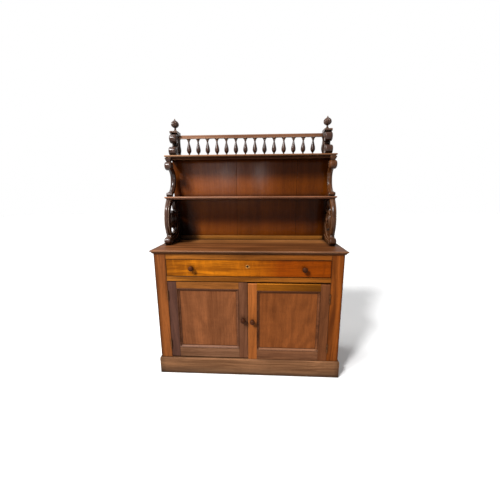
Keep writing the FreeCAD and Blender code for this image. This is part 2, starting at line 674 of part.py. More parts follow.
def door_moulding():
    """Four runs of moulding round the panel, mitred at the corners."""
    across = V(PANEL_RIGHT - PANEL_LEFT, 0, 0)
    up = V(0, 0, PANEL_HIGH - PANEL_LOW)
    w = MOULDING_WIDTH
    outer = [(PANEL_LEFT, PANEL_LOW), (PANEL_RIGHT, PANEL_LOW),
             (PANEL_RIGHT, PANEL_HIGH), (PANEL_LEFT, PANEL_HIGH)]
    inner = [(PANEL_LEFT + w, PANEL_LOW + w), (PANEL_RIGHT - w, PANEL_LOW + w),
             (PANEL_RIGHT - w, PANEL_HIGH - w), (PANEL_LEFT + w, PANEL_HIGH - w)]
    bars = [
        prism(moulding_section(lambda a, d: V(PANEL_LEFT, FACE_Y + d, PANEL_LOW + a)), across),
        prism(moulding_section(lambda a, d: V(PANEL_RIGHT - a, FACE_Y + d, PANEL_LOW)), up),
        prism(moulding_section(lambda a, d: V(PANEL_LEFT, FACE_Y + d, PANEL_HIGH - a)), across),
        prism(moulding_section(lambda a, d: V(PANEL_LEFT + a, FACE_Y + d, PANEL_LOW)), up),
    ]
    y0 = FACE_Y - MOULDING_PROUD - OVERRUN
    strips = []
    for side, bar in enumerate(bars):
        following = (side + 1) % len(bars)
        plan = [outer[side], outer[following], inner[following], inner[side]]
        strips.append(bar.common(polygon_prism([V(x, y0, z) for x, z in plan], V(0, PANEL_Y - y0, 0))))
    return Part.makeCompound(strips)


# Hinges

def hinge_bases(drop):
    """Lower ends of a door's two hinges."""
    return [DOOR_LOW + HINGE_INSET - drop, DOOR_HIGH - HINGE_INSET - HINGE_LENGTH - drop]


def leaf_plate(base, fixed):
    """Flat of one leaf, half sunk in the wood and half in the gap between stile and door."""
    reveal = (HINGE_GAP - LEAF_CLEARANCE) / 2
    x0 = OPENING_HALF - reveal if fixed else DOOR_HINGE_X + reveal - LEAF_THICK
    return box(x0, x0 + LEAF_THICK, FACE_Y, FACE_Y + LEAF_WIDTH, base, base + HINGE_LENGTH)


def hinge_leaf(base, fixed):
    """Leaf with its knuckles: the fixed one has the first, third and fifth."""
    plate = leaf_plate(base, fixed)
    pitch = HINGE_LENGTH / KNUCKLE_COUNT
    x0 = plate.BoundBox.XMin
    knuckles = []
    for number in range(KNUCKLE_COUNT):
        if (number % 2 == 0) == fixed:
            z0 = base + number * pitch + LEAF_CLEARANCE / 2
            height = pitch - LEAF_CLEARANCE
            arm = box(x0, x0 + LEAF_THICK, HINGE_AXIS_Y, FACE_Y, z0, z0 + height)
            barrel = Part.makeCylinder(KNUCKLE_RADIUS, height, V(HINGE_AXIS_X, HINGE_AXIS_Y, z0))
            knuckles += [arm, barrel]
    bore = Part.makeCylinder(PIN_RADIUS + PIN_CLEARANCE, HINGE_LENGTH, V(HINGE_AXIS_X, HINGE_AXIS_Y, base))
    return plate.fuse(knuckles).cut(bore).removeSplitter()


def hinge_pin(base):
    """Pin with a small cap that rests on the top knuckle."""
    shank = Part.makeCylinder(PIN_RADIUS, HINGE_LENGTH, V(HINGE_AXIS_X, HINGE_AXIS_Y, base))
    top = V(HINGE_AXIS_X, HINGE_AXIS_Y, base + HINGE_LENGTH)
    cap = Part.makeCylinder(PIN_CAP_RADIUS, PIN_CAP_HEIGHT, top)
    return shank.fuse(cap).removeSplitter()


def door_leaves(drop):
    return Part.makeCompound([hinge_leaf(base, fixed=False) for base in hinge_bases(drop)])


def both_doors(make):
    """The same fitting on the left door and, dropped with it, on the right door."""
    left = [mirrored(make(base)) for base in hinge_bases(0)]
    right = [make(base) for base in hinge_bases(RIGHT_DOOR_DROP)]
    return Part.makeCompound(left + right)


# Latch and bolt

def right_meeting_stile():
    """Meeting stile of the right door, bored through for the knob's spindle."""
    hole = Part.makeCylinder(SPINDLE_RADIUS + PIN_CLEARANCE, DOOR_THICK, V(DOOR_KNOB_X, FACE_Y, DOOR_KNOB_Z),
                             V(0, 1, 0))
    return door_stile(DOOR_MEETING_X).cut(hole)


def latch_knob():
    """Knob of the right door on a spindle that turns in the stile and carries the tongue."""
    head = turned(KNOB_SHARES, KNOB_RADIUS, KNOB_PROJECTION - SLIDE_CLEARANCE)
    length = DOOR_THICK + 2 * SLIDE_CLEARANCE + TONGUE_THICK
    spindle = Part.makeCylinder(SPINDLE_RADIUS, length, V(0, 0, -length))
    body = head.fuse(spindle).removeSplitter()
    body.rotate(V(0, 0, 0), V(1, 0, 0), QUARTER_TURN)
    body.translate(V(DOOR_KNOB_X, FACE_Y - SLIDE_CLEARANCE, DOOR_KNOB_Z))
    return body


def latch_tongue():
    """Round-ended tongue behind the stile; it hangs down when the doors are free."""
    y0 = DOOR_BACK_Y + SLIDE_CLEARANCE
    half = TONGUE_WIDTH / 2
    low = DOOR_KNOB_Z - TONGUE_LENGTH + half
    x = DOOR_KNOB_X
    z = DOOR_KNOB_Z
    tongue = prism([
        line(V(x - half, y0, z), V(x - half, y0, low)),
        arc(V(x - half, y0, low), V(x, y0, low - half), V(x + half, y0, low)),
        line(V(x + half, y0, low), V(x + half, y0, z)),
        arc(V(x + half, y0, z), V(x, y0, z + half), V(x - half, y0, z)),
    ], V(0, TONGUE_THICK, 0))
    return tongue.cut(Part.makeCylinder(SPINDLE_RADIUS, TONGUE_THICK, V(x, y0, z), V(0, 1, 0)))


def door_bolt_path(z0, z1):
    """Room for the left door's bolt, at the left door's own place."""
    half = DOOR_BOLT_WIDTH / 2 + SLIDE_CLEARANCE
    return box(-DOOR_KNOB_X - half, -DOOR_KNOB_X + half, DOOR_BACK_Y - DOOR_BOLT_THICK - SLIDE_CLEARANCE,
               DOOR_BACK_Y + SLIDE_CLEARANCE, z0, z1)


def left_meeting_stile():
    """Meeting stile of the left door, with the knob's hole in front and the bolt's channel behind."""
    stile = mirrored(door_stile(DOOR_MEETING_X))
    channel = door_bolt_path(DOOR_HIGH - DOOR_BOLT_LENGTH - SLIDE_CLEARANCE, DOOR_HIGH)
    return stile.cut([spigot_hole(-DOOR_KNOB_X, DOOR_KNOB_Z), channel])


def left_door_bolt():
    """Flat bolt with a thumb button, drawn down flush with the door's top edge."""
    half = DOOR_BOLT_WIDTH / 2
    bar = box(-DOOR_KNOB_X - half, -DOOR_KNOB_X + half, DOOR_BACK_Y - DOOR_BOLT_THICK, DOOR_BACK_Y,
              DOOR_HIGH - DOOR_BOLT_LENGTH, DOOR_HIGH)
    button = Part.makeCylinder(DOOR_BOLT_KNOB_RADIUS, DOOR_BOLT_KNOB_LENGTH,
                               V(-DOOR_KNOB_X, DOOR_BACK_Y, DOOR_HIGH - DOOR_BOLT_LENGTH / 2), V(0, 1, 0))
    return bar.fuse(button).removeSplitter()


# Raised back and shelves

def upper_back_boards():
    """Three upright boards, closed above by the top shelf."""
    half = BACK_PANEL_HALF_WIDTH
    marks = [-half] + [(2 * share - 1) * half for share in BACK_PANEL_SEAM_SHARES] + [half]
    boards = []
    for start, stop in zip(marks, marks[1:]):
        boards.append(box(start + BOARD_SEAM / 2, stop - BOARD_SEAM / 2, PANEL_FACE_Y, BACK_Y, BASE_HEIGHT,
                          TOP_SHELF_UNDER))
    return Part.makeCompound(boards)


def back_skirting_rail():
    """Rail along the foot of the back, its top edge rounded."""
    x = -BRACKET_INNER
    front = PANEL_FACE_Y - SKIRTING_THICK
    top = BASE_HEIGHT + SKIRTING_HEIGHT
    bend = SKIRTING_ROUND * (1 - DIAGONAL)
    return prism([
        line(V(x, PANEL_FACE_Y, BASE_HEIGHT), V(x, front, BASE_HEIGHT)),
        line(V(x, front, BASE_HEIGHT), V(x, front, top - SKIRTING_ROUND)),
        arc(V(x, front, top - SKIRTING_ROUND), V(x, front + bend, top - bend),
            V(x, front + SKIRTING_ROUND, top)),
        line(V(x, front + SKIRTING_ROUND, top), V(x, PANEL_FACE_Y, top)),
        line(V(x, PANEL_FACE_Y, top), V(x, PANEL_FACE_Y, BASE_HEIGHT)),
    ], V(2 * BRACKET_INNER, 0, 0))


def middle_shelf():
    half = UPPER_HALF_WIDTH + MIDDLE_SHELF_OVERHANG
    return moulded_board(half, PANEL_FACE_Y - MIDDLE_SHELF_DEPTH, PANEL_FACE_Y, MIDDLE_UNDER,
                         MIDDLE_SHELF_THICK, MIDDLE_SHELF_NOSE, MIDDLE_SHELF_QUIRK, MIDDLE_SHELF_RECESS)


TOP_SHELF_HALF = UPPER_HALF_WIDTH + TOP_SHELF_OVERHANG
TOP_SHELF_FRONT = BACK_Y - TOP_SHELF_DEPTH


def top_shelf():
    return moulded_board(TOP_SHELF_HALF, TOP_SHELF_FRONT, BACK_Y, TOP_SHELF_UNDER, TOP_SHELF_THICK,
                         TOP_SHELF_NOSE, TOP_SHELF_QUIRK, TOP_SHELF_RECESS)


def cove_section(place):
    """Hollow under the top shelf: full width above, only its toe below."""
    sweep = COVE_WIDTH - COVE_TOE
    return [
        line(place(COVE_WIDTH, 0), place(COVE_WIDTH, COVE_HEIGHT)),
        line(place(COVE_WIDTH, COVE_HEIGHT), place(0, COVE_HEIGHT)),
        arc(place(0, COVE_HEIGHT), place(sweep * DIAGONAL, COVE_HEIGHT * DIAGONAL), place(sweep, 0)),
        line(place(sweep, 0), place(COVE_WIDTH, 0)),
    ]


def top_shelf_cove():
    """Cove moulding along the front of the top shelf and back along both ends."""
    half = TOP_SHELF_HALF - COVE_INSET
    inner = half - COVE_WIDTH
    front = TOP_SHELF_FRONT + COVE_INSET
    back = front + COVE_WIDTH
    z = COVE_UNDER
    up = V(0, 0, COVE_HEIGHT)
    front_plan = [V(-half, front, z), V(half, front, z), V(inner, back, z), V(-inner, back, z)]
    end_plan = [V(half, front, z), V(half, PANEL_FACE_Y, z), V(inner, PANEL_FACE_Y, z), V(inner, back, z)]
    across = prism(cove_section(lambda i, h: V(-half, front + i, z + h)), V(2 * half, 0, 0))
    across = across.common(polygon_prism(front_plan, up))
    end = prism(cove_section(lambda i, h: V(half - i, front, z + h)), V(0, PANEL_FACE_Y - front, 0))
    end = end.common(polygon_prism(end_plan, up))
    return Part.makeCompound([across, end, mirrored(end)])


# Scroll brackets, right-hand side

def lower_bracket():
    """C-scroll: foot roll, forward belly, an inner volute and a pierced crescent below it."""
    at = bracket_place(BRACKET_INNER, PANEL_FACE_Y, BASE_HEIGHT)
    run = V(BRACKET_THICK, 0, 0)
    roll = (LOWER_REACH - LOWER_FOOT_ROLL, LOWER_FOOT_ROLL)
    volute = (LOWER_VOLUTE_SHARES[0] * LOWER_REACH, LOWER_VOLUTE_SHARES[1] * LOWER_HEIGHT)
    belly = scaled(LOWER_BELLY_SHARES, LOWER_REACH, LOWER_HEIGHT)
    stem = scaled(LOWER_STEM_SHARES, LOWER_REACH, LOWER_HEIGHT)
    tail = scaled(LOWER_TAIL_SHARES, LOWER_REACH, LOWER_HEIGHT)
    hole = scaled(LOWER_HOLE_SHARES, LOWER_REACH, LOWER_HEIGHT)
    roll_top = polar(roll, LOWER_FOOT_ROLL, LOWER_ROLL_ANGLE)
    crown, top, shoulder = [polar(volute, LOWER_VOLUTE, angle) for angle in LOWER_VOLUTE_ANGLES]
    outline = prism([
        line(*at([(0, 0), (roll[0], 0)])),
        arc(*at([(roll[0], 0), polar(roll, LOWER_FOOT_ROLL, 0), roll_top])),
        line(*at([roll_top, belly[0]])),
        flow(at(belly)),
        line(*at([belly[-1], (0, LOWER_HEIGHT)])),
        line(*at([(0, LOWER_HEIGHT), stem[0]])),
        flow(at(stem + [crown])),
        arc(*at([crown, top, shoulder])),
        flow(at([shoulder] + tail)),
        line(*at([tail[-1], (0, 0)])),
    ], run)
    right, under, left = [polar(volute, LOWER_VOLUTE, angle) for angle in LOWER_CRESCENT_ANGLES]
    crescent = prism([arc(*at([right, under, left])), flow(at([left] + hole + [right]))], run)
    rolls = [scroll_roll(at, roll, LOWER_FOOT_ROLL, BRACKET_THICK, ROLL_PROUD),
             scroll_roll(at, volute, LOWER_EYE, BRACKET_THICK, ROLL_PROUD)]
    return outline.cut(crescent).fuse(rolls).removeSplitter()


def upper_bracket():
    """S-scroll: small foot roll, waist that leans back, large roll and a cushion under the top shelf."""
    at = bracket_place(BRACKET_INNER, PANEL_FACE_Y, MIDDLE_TOP)
    foot = (UPPER_REACH - UPPER_FOOT_ROLL, UPPER_FOOT_ROLL)
    roll = (UPPER_REACH - UPPER_ROLL_INSET - UPPER_ROLL, UPPER_HEIGHT - UPPER_NECK - UPPER_ROLL)
    crown = (roll[0], roll[1] + UPPER_ROLL)
    cushion = (roll[0] + UPPER_NECK_REACH, UPPER_HEIGHT)
    waist = scaled(UPPER_WAIST_SHARES, UPPER_REACH, UPPER_HEIGHT)
    rear = scaled(UPPER_REAR_SHARES, UPPER_REACH, UPPER_HEIGHT)
    foot_top = polar(foot, UPPER_FOOT_ROLL, UPPER_FOOT_ANGLE)
    under, front = [polar(roll, UPPER_ROLL, angle) for angle in UPPER_ROLL_ANGLES]
    outline = prism([
        line(*at([rear[-1], (foot[0], 0)])),
        arc(*at([(foot[0], 0), polar(foot, UPPER_FOOT_ROLL, 0), foot_top])),
        flow(at([foot_top] + waist + [under])),
        arc(*at([under, front, crown])),
        line(*at([crown, cushion])),
        line(*at([cushion, rear[0]])),
        flow(at(rear)),
    ], V(BRACKET_THICK, 0, 0))
    rolls = [scroll_roll(at, roll, UPPER_ROLL, BRACKET_THICK, UPPER_ROLL_PROUD),
             scroll_roll(at, foot, UPPER_FOOT_ROLL, BRACKET_THICK, ROLL_PROUD)]
    return outline.fuse(rolls).removeSplitter()


# Gallery

def gallery_post():
    """Console post: a roll at the foot, a hollow, and a second roll below a capped block."""
    at = bracket_place(POST_INNER_HALF, BACK_Y, TOP_SHELF_TOP)
    foot = (POST_REACH - POST_FOOT_ROLL, POST_FOOT_ROLL)
    roll = (POST_ROLL_SHARES[0] * POST_REACH, POST_ROLL_SHARES[1] * POST_HEIGHT)
    waist = scaled(POST_WAIST_SHARES, POST_REACH, POST_HEIGHT)
    neck = scaled(POST_NECK_SHARES, POST_REACH, POST_HEIGHT)
    foot_top = polar(foot, POST_FOOT_ROLL, POST_FOOT_ANGLE)
    under, front, over = [polar(roll, POST_ROLL, angle) for angle in POST_ROLL_ANGLES]
    outline = prism([
        line(*at([(0, 0), (foot[0], 0)])),
        arc(*at([(foot[0], 0), polar(foot, POST_FOOT_ROLL, 0), foot_top])),
        flow(at([foot_top] + waist + [under])),
        arc(*at([under, front, over])),
        flow(at([over] + neck[:2])),
        line(*at(neck[1:3])),
        line(*at(neck[2:4])),
        line(*at([neck[3], (0, POST_HEIGHT)])),
        line(*at([(0, POST_HEIGHT), (0, 0)])),
    ], V(POST_THICK, 0, 0))
    rolls = [scroll_roll(at, roll, POST_ROLL, POST_THICK, POST_ROLL_PROUD),
             scroll_roll(at, foot, POST_FOOT_ROLL, POST_THICK, POST_ROLL_PROUD)]
    return outline.fuse(rolls).removeSplitter()


def gallery_rail():
    """Rail over the spindles, with its long edges rounded."""
    z0 = TOP_SHELF_TOP + RAIL_BASE_HEIGHT
    rail = box(-POST_INNER_HALF, POST_INNER_HALF, GALLERY_Y - RAIL_WIDTH / 2, GALLERY_Y + RAIL_WIDTH / 2,
               z0, z0 + RAIL_THICK)
    upper = [edge for edge in rail.Edges if edge.BoundBox.ZMin > z0 and edge.BoundBox.XLength > RAIL_WIDTH]
    return rail.makeFillet(RAIL_EDGE_ROUND, upper)


def gallery_spindles():
    """Row of vase-shaped spindles, with a half one planted on each post."""
    pitch = 2 * POST_INNER_HALF / (SPINDLE_COUNT + 1)
    whole = turned(SPINDLE_SHARES, SPINDLE_BELLY, RAIL_BASE_HEIGHT)
    half = turned(SPINDLE_SHARES, SPINDLE_BELLY, RAIL_BASE_HEIGHT, HALF_TURN)
    half.rotate(V(0, 0, 0), V(0, 0, 1), QUARTER_TURN)
    row = []
    for number in range(SPINDLE_COUNT + 2):
        x = -POST_INNER_HALF + number * pitch
        if number == 0:
            spindle = mirrored(half)
        elif number == SPINDLE_COUNT + 1:
            spindle = half.copy()
        else:
            spindle = whole.copy()
        spindle.translate(V(x, GALLERY_Y, TOP_SHELF_TOP))
        row.append(spindle)
    return Part.makeCompound(row)


def finial():
    """Ball finial on a waisted foot, drawn to a point."""
    ball = turned(FINIAL_SHARES, FINIAL_RADIUS, FINIAL_HEIGHT)
    ball.translate(V(POST_INNER_HALF + POST_THICK / 2, GALLERY_Y, TOP_SHELF_TOP + POST_HEIGHT))
    return ball


def pair(shape):
    return Part.makeCompound([mirrored(shape), shape])


def dropped(shape):
    lowered = shape.copy()
    lowered.translate(V(0, 0, -RIGHT_DOOR_DROP))
    return lowered


PARTS = {
    "plinth_front": plinth_front(),
    "plinth_returns": pair(plinth_return()),
    "plinth_back": plinth_back(),
    "carcass_side_left": mirrored(carcass_side()),
    "carcass_side_right": carcass_side(),
    "front_stile_left": mirrored(front_stile(0)),
    "front_stile_right": front_stile(RIGHT_DOOR_DROP),
    "carcass_floor": carcass_floor(),
    "carcass_back_boards": carcass_back_boards(),
    "top_rail": top_rail(),
    "drawer_rail": drawer_rail(),
    "drawer_runners": pair(drawer_runner()),
    "drawer_kickers": pair(drawer_kicker()),
    "drawer_stops": pair(drawer_stop()),
    "inner_shelf": inner_shelf(),
    "shelf_bearers": pair(shelf_bearer()),
    "top_board": top_board(),
    "drawer_front": drawer_front(),
    "drawer_side_left": mirrored(drawer_side()),
    "drawer_side_right": drawer_side(),
    "drawer_back": drawer_back(),
    "drawer_bottom": drawer_bottom(),
    "drawer_knobs": pair(knob(DRAWER_KNOB_SPREAD, DRAWER_KNOB_Z)),
    "drawer_escutcheon": drawer_escutcheon(),
    "drawer_lock_case": drawer_lock_case(),
    "drawer_lock_bolt": drawer_lock_bolt(),
    "left_door_hinge_stile": mirrored(door_hinge_stile()),
    "left_door_meeting_stile": left_meeting_stile(),
    "left_door_top_rail": mirrored(door_top_rail()),
    "left_door_bottom_rail": mirrored(door_bottom_rail()),
    "left_door_panel": mirrored(door_panel()),
    "left_door_moulding": mirrored(door_moulding()),
    "left_door_knob": knob(-DOOR_KNOB_X, DOOR_KNOB_Z),
    "left_door_bolt": left_door_bolt(),
    "left_door_hinge_leaves": mirrored(door_leaves(0)),
    "right_door_hinge_stile": dropped(door_hinge_stile()),
    "right_door_meeting_stile": dropped(right_meeting_stile()),
    "right_door_top_rail": dropped(door_top_rail()),
    "right_door_bottom_rail": dropped(door_bottom_rail()),
    "right_door_panel": dropped(door_panel()),
    "right_door_moulding": dropped(door_moulding()),
    "right_door_knob": dropped(latch_knob()),
    "right_door_latch_tongue": dropped(latch_tongue()),
    "right_door_hinge_leaves": door_leaves(RIGHT_DOOR_DROP),
    "carcass_hinge_leaves": both_doors(lambda base: hinge_leaf(base, fixed=True)),
    "hinge_pins": both_doors(hinge_pin),
    "upper_back_boards": upper_back_boards(),
    "back_skirting_rail": back_skirting_rail(),
    "lower_bracket_left": mirrored(lower_bracket()),
    "lower_bracket_right": lower_bracket(),
    "middle_shelf": middle_shelf(),
    "upper_bracket_left": mirrored(upper_bracket()),
    "upper_bracket_right": upper_bracket(),
    "top_shelf": top_shelf(),
    "top_shelf_cove": top_shelf_cove(),
    "gallery_post_left": mirrored(gallery_post()),
    "gallery_post_right": gallery_post(),
    "gallery_rail": gallery_rail(),
    "gallery_spindles": gallery_spindles(),
    "finials": pair(finial()),
}

os.makedirs("parts", exist_ok=True)
for name, shape in PARTS.items():
    shape.exportStep("parts/" + name + ".step")
    state = "valid" if shape.isValid() else "NOT VALID"
    print(name, len(shape.Solids), "solid(s)", round(shape.Volume), "mm3", state)
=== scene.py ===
# %% [markdown]
# A mahogany chiffonier: a base cupboard with one long drawer and two panelled doors, and over it a raised
# back with two shelves on scroll brackets and a gallery of turned spindles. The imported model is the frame:
# every board is already in its place, in metres, with +Z up and the wall behind at +Y. This lesson gives
# the boards their polish and grain, adds the carving and the small metalwork, and sets up the view.

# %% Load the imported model
import json
import math
import bpy
import bmesh
from mathutils import Matrix, Vector
from mathutils.geometry import tessellate_polygon

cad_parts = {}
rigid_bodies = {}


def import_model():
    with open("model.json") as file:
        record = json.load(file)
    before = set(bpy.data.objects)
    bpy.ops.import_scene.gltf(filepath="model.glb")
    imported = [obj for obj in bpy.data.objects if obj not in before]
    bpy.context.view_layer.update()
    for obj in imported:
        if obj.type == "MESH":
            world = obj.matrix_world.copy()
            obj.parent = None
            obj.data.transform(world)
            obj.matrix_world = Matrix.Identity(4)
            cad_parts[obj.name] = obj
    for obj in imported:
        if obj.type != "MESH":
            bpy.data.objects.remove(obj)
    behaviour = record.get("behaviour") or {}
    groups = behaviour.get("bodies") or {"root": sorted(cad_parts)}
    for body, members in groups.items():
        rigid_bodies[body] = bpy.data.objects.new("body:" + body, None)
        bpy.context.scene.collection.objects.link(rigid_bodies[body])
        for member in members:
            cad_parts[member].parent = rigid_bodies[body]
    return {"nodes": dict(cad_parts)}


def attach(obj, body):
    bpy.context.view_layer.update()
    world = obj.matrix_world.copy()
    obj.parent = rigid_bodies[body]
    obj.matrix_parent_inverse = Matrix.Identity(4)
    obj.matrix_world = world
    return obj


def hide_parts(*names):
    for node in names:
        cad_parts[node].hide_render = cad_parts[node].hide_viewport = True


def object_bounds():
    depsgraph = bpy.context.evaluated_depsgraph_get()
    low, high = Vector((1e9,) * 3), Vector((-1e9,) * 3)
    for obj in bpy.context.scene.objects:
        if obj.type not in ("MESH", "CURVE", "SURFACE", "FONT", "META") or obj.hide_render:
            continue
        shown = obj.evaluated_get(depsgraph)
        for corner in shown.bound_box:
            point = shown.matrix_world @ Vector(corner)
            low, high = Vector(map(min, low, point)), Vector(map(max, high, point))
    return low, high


for leftover in list(bpy.data.objects):
    bpy.data.objects.remove(leftover)
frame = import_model()
boards = frame["nodes"]
cad_box = [list(corner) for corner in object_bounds()]
print("nodes", len(boards), "box", [[round(v, 4) for v in corner] for corner in cad_box])

# %% [markdown]
# The view comes first, because everything else is judged through it. The eye stands a little to the right
# of the middle, at about eye height, and close: a wide lens makes the base look larger than the gallery.
# The camera's axes are worked out from a turn to the left, a tilt down and a very small roll.

# %% Camera
EYE = Vector((0.1014, -1.7512, 1.2005))
TURN_LEFT = math.radians(3.13)
TILT_DOWN = math.radians(12.14)
ROLL = math.radians(-0.28)
PICTURE_PIXELS = 500
FOCAL_PIXELS = 261.3
SENSOR_MM = 36.0


def camera_axes():
    """Right, up and forward of the camera, from its turn, tilt and roll."""
    level = Vector((-math.sin(TURN_LEFT), math.cos(TURN_LEFT), 0))
    side = Vector((math.cos(TURN_LEFT), math.sin(TURN_LEFT), 0))
    overhead = Vector((0, 0, 1))
    forward = level * math.cos(TILT_DOWN) - overhead * math.sin(TILT_DOWN)
    above = overhead * math.cos(TILT_DOWN) + level * math.sin(TILT_DOWN)
    right = side * math.cos(ROLL) + above * math.sin(ROLL)
    up = above * math.cos(ROLL) - side * math.sin(ROLL)
    return right, up, forward


right, up, forward = camera_axes()
lens = bpy.data.cameras.new("view")
lens.sensor_width = SENSOR_MM
lens.sensor_fit = "HORIZONTAL"
lens.lens = FOCAL_PIXELS / PICTURE_PIXELS * SENSOR_MM
lens.clip_start = 0.05
camera = bpy.data.objects.new("view", lens)
camera.matrix_world = Matrix((
    (right.x, up.x, -forward.x, EYE.x),
    (right.y, up.y, -forward.y, EYE.y),
    (right.z, up.z, -forward.z, EYE.z),
    (0, 0, 0, 1),
))
bpy.context.scene.collection.objects.link(camera)
bpy.context.scene.camera = camera
bpy.context.scene.view_settings.view_transform = "Standard"
print("lens", round(lens.lens, 2), "mm")

# %% [markdown]
# A finish is a small graph of nodes, and the same few kinds come back all the time. These helpers keep the
# recipes short: one makes a node and wires its inputs, others mix two colours or rescale a value. Colours
# are written as the eye sees them, 0 to 255, and turned into the linear values that the shader works with.

# %% Helpers for finishes
def shade(red, green, blue):
    """Linear colour of an ordinary 0 to 255 colour."""
    def linear(value):
        part = value / 255
        return part / 12.92 if part <= 0.04045 else ((part + 0.055) / 1.055) ** 2.4
    return (linear(red), linear(green), linear(blue), 1.0)


def add(tree, kind, inputs=None, **settings):
    """New node with its settings, each input given as a value or as another node's output."""
    made = tree.nodes.new("ShaderNode" + kind)
    for key, value in settings.items():
        setattr(made, key, value)
    for key, value in (inputs or {}).items():
        if isinstance(value, bpy.types.NodeSocket):
            tree.links.new(value, made.inputs[key])
        else:
            made.inputs[key].default_value = value
    return made


def mix(tree, factor, first, second, how="MIX"):
    """Colour between two colours or outputs."""
    made = tree.nodes.new("ShaderNodeMix")
    made.data_type = "RGBA"
    made.blend_type = how
    for place, value in ((0, factor), (6, first), (7, second)):
        if isinstance(value, bpy.types.NodeSocket):
            tree.links.new(value, made.inputs[place])
        else:
            made.inputs[place].default_value = value
    return made.outputs[2]


def stretch(tree, value, low, high, out_low=0.0, out_high=1.0):
    """Value rescaled from one range to another, and held inside it."""
    made = add(tree, "MapRange", {"Value": value, "From Min": low, "From Max": high, "To Min": out_low,
                                  "To Max": out_high})
    return made.outputs["Result"]


def sum_up(tree, operation, first, second):
    """One step of arithmetic on two values or outputs."""
    return add(tree, "Math", {0: first, 1: second}, operation=operation).outputs[0]


def times(tree, first, second):
    """Product of two values or outputs."""
    return sum_up(tree, "MULTIPLY", first, second)


def new_finish(name):
    """Empty material with its output, ready for a shader."""
    material = bpy.data.materials.new(name)
    material.use_nodes = True
    tree = material.node_tree
    tree.nodes.clear()
    return material, tree, tree.nodes.new("ShaderNodeOutputMaterial")


# %% [markdown]
# Old polished wood is the whole look of this piece. Its colour runs through three tones, and what picks the
# tone is a sum of noises that are stretched along the grain: broad bands, streaks and thin lines. A ripple
# across the grain gives the figured cuts their shimmer, and a stack of arches gives the door panels their
# flame. Dark old wax and painted shade darken the corners, the gaps and most edges, and other edges are
# rubbed pale, so a bevel's bent normal finds the edges and ambient occlusion finds the corners.

# %% Layers of the grain
# Each layer has its scale across the grain and along it, and its detail.
BROAD_BANDS = (6.5, 0.9, 2.0)
STREAKS = (30.0, 1.0, 3.0)
THIN_LINES = (130.0, 2.2, 2.0)
FIBRES = (480.0, 16.0, 2.0)
PORES = (800.0, 40.0, 1.0)
RIPPLES = (7.0, 30.0, 2.0)
BAND_SHARE, STREAK_SHARE, LINE_SHARE = 0.42, 0.36, 0.22
TONE_REACH = 0.13
ARCH_STEEPNESS = 1.9
ARCH_RATE = 34.0
ARCH_SHARE = 0.34
GRAIN_AXES = {"x": 0, "y": 1, "z": 2}


def along(grain, across, length):
    """Scale of a texture that is stretched along the grain."""
    scale = [across, across, across]
    scale[GRAIN_AXES[grain]] = length
    return scale


def grained_noise(tree, coordinates, grain, across, length, detail, seed, distortion=0.0):
    """Noise that is drawn out along the grain, different for each seed."""
    mapped = add(tree, "Mapping", {"Vector": coordinates, "Location": (seed * 1.7, seed * 2.3, seed * 0.9),
                                   "Scale": along(grain, across, length)})
    noise = add(tree, "TexNoise", {"Vector": mapped.outputs[0], "Scale": 1.0, "Detail": detail,
                                   "Roughness": 0.55, "Distortion": distortion})
    return noise.outputs["Fac"]


def flame_arches(tree, coordinates, centre, seed):
    """Pointed arches one above the other, as where a board is sawn through a fork of the tree."""
    spot = add(tree, "SeparateXYZ", {"Vector": coordinates})
    offset = sum_up(tree, "SUBTRACT", spot.outputs["X"], centre)
    slope = times(tree, sum_up(tree, "ABSOLUTE", offset, 0.0), -ARCH_STEEPNESS)
    wobble = times(tree, grained_noise(tree, coordinates, "z", 9.0, 3.0, 3.0, seed), 0.5)
    height = sum_up(tree, "ADD", sum_up(tree, "ADD", spot.outputs["Z"], slope), wobble)
    wave = sum_up(tree, "SINE", times(tree, height, ARCH_RATE), 0.0)
    strength = grained_noise(tree, coordinates, "z", 6.0, 3.5, 2.0, seed + 3)
    return times(tree, stretch(tree, wave, -0.6, 1.0), stretch(tree, strength, 0.38, 0.62))


def tinted(colour, factors):
    """A linear colour with each channel multiplied by a factor."""
    return tuple(channel * factor for channel, factor in zip(colour, factors)) + (1.0,)


print("shares of the tone add up to", round(BAND_SHARE + STREAK_SHARE + LINE_SHARE, 3))

# %% Recipe for polished wood
PALE_EDGE = (206, 166, 136)
# Edge colour for dark old wax and for the painted shade of the gaps beside an edge.
WAX_AND_SHADE_EDGE = (36, 18, 9)
WAX_AND_SHADE_DARK = (26, 14, 8)
PORE_BROWN = (40, 20, 10)
DEEP_TINT = (0.5, 0.46, 0.42)
LIGHT_TINT = (1.5, 1.5, 1.45)
UNCHANGED = (1.0, 1.0, 1.0, 1.0)


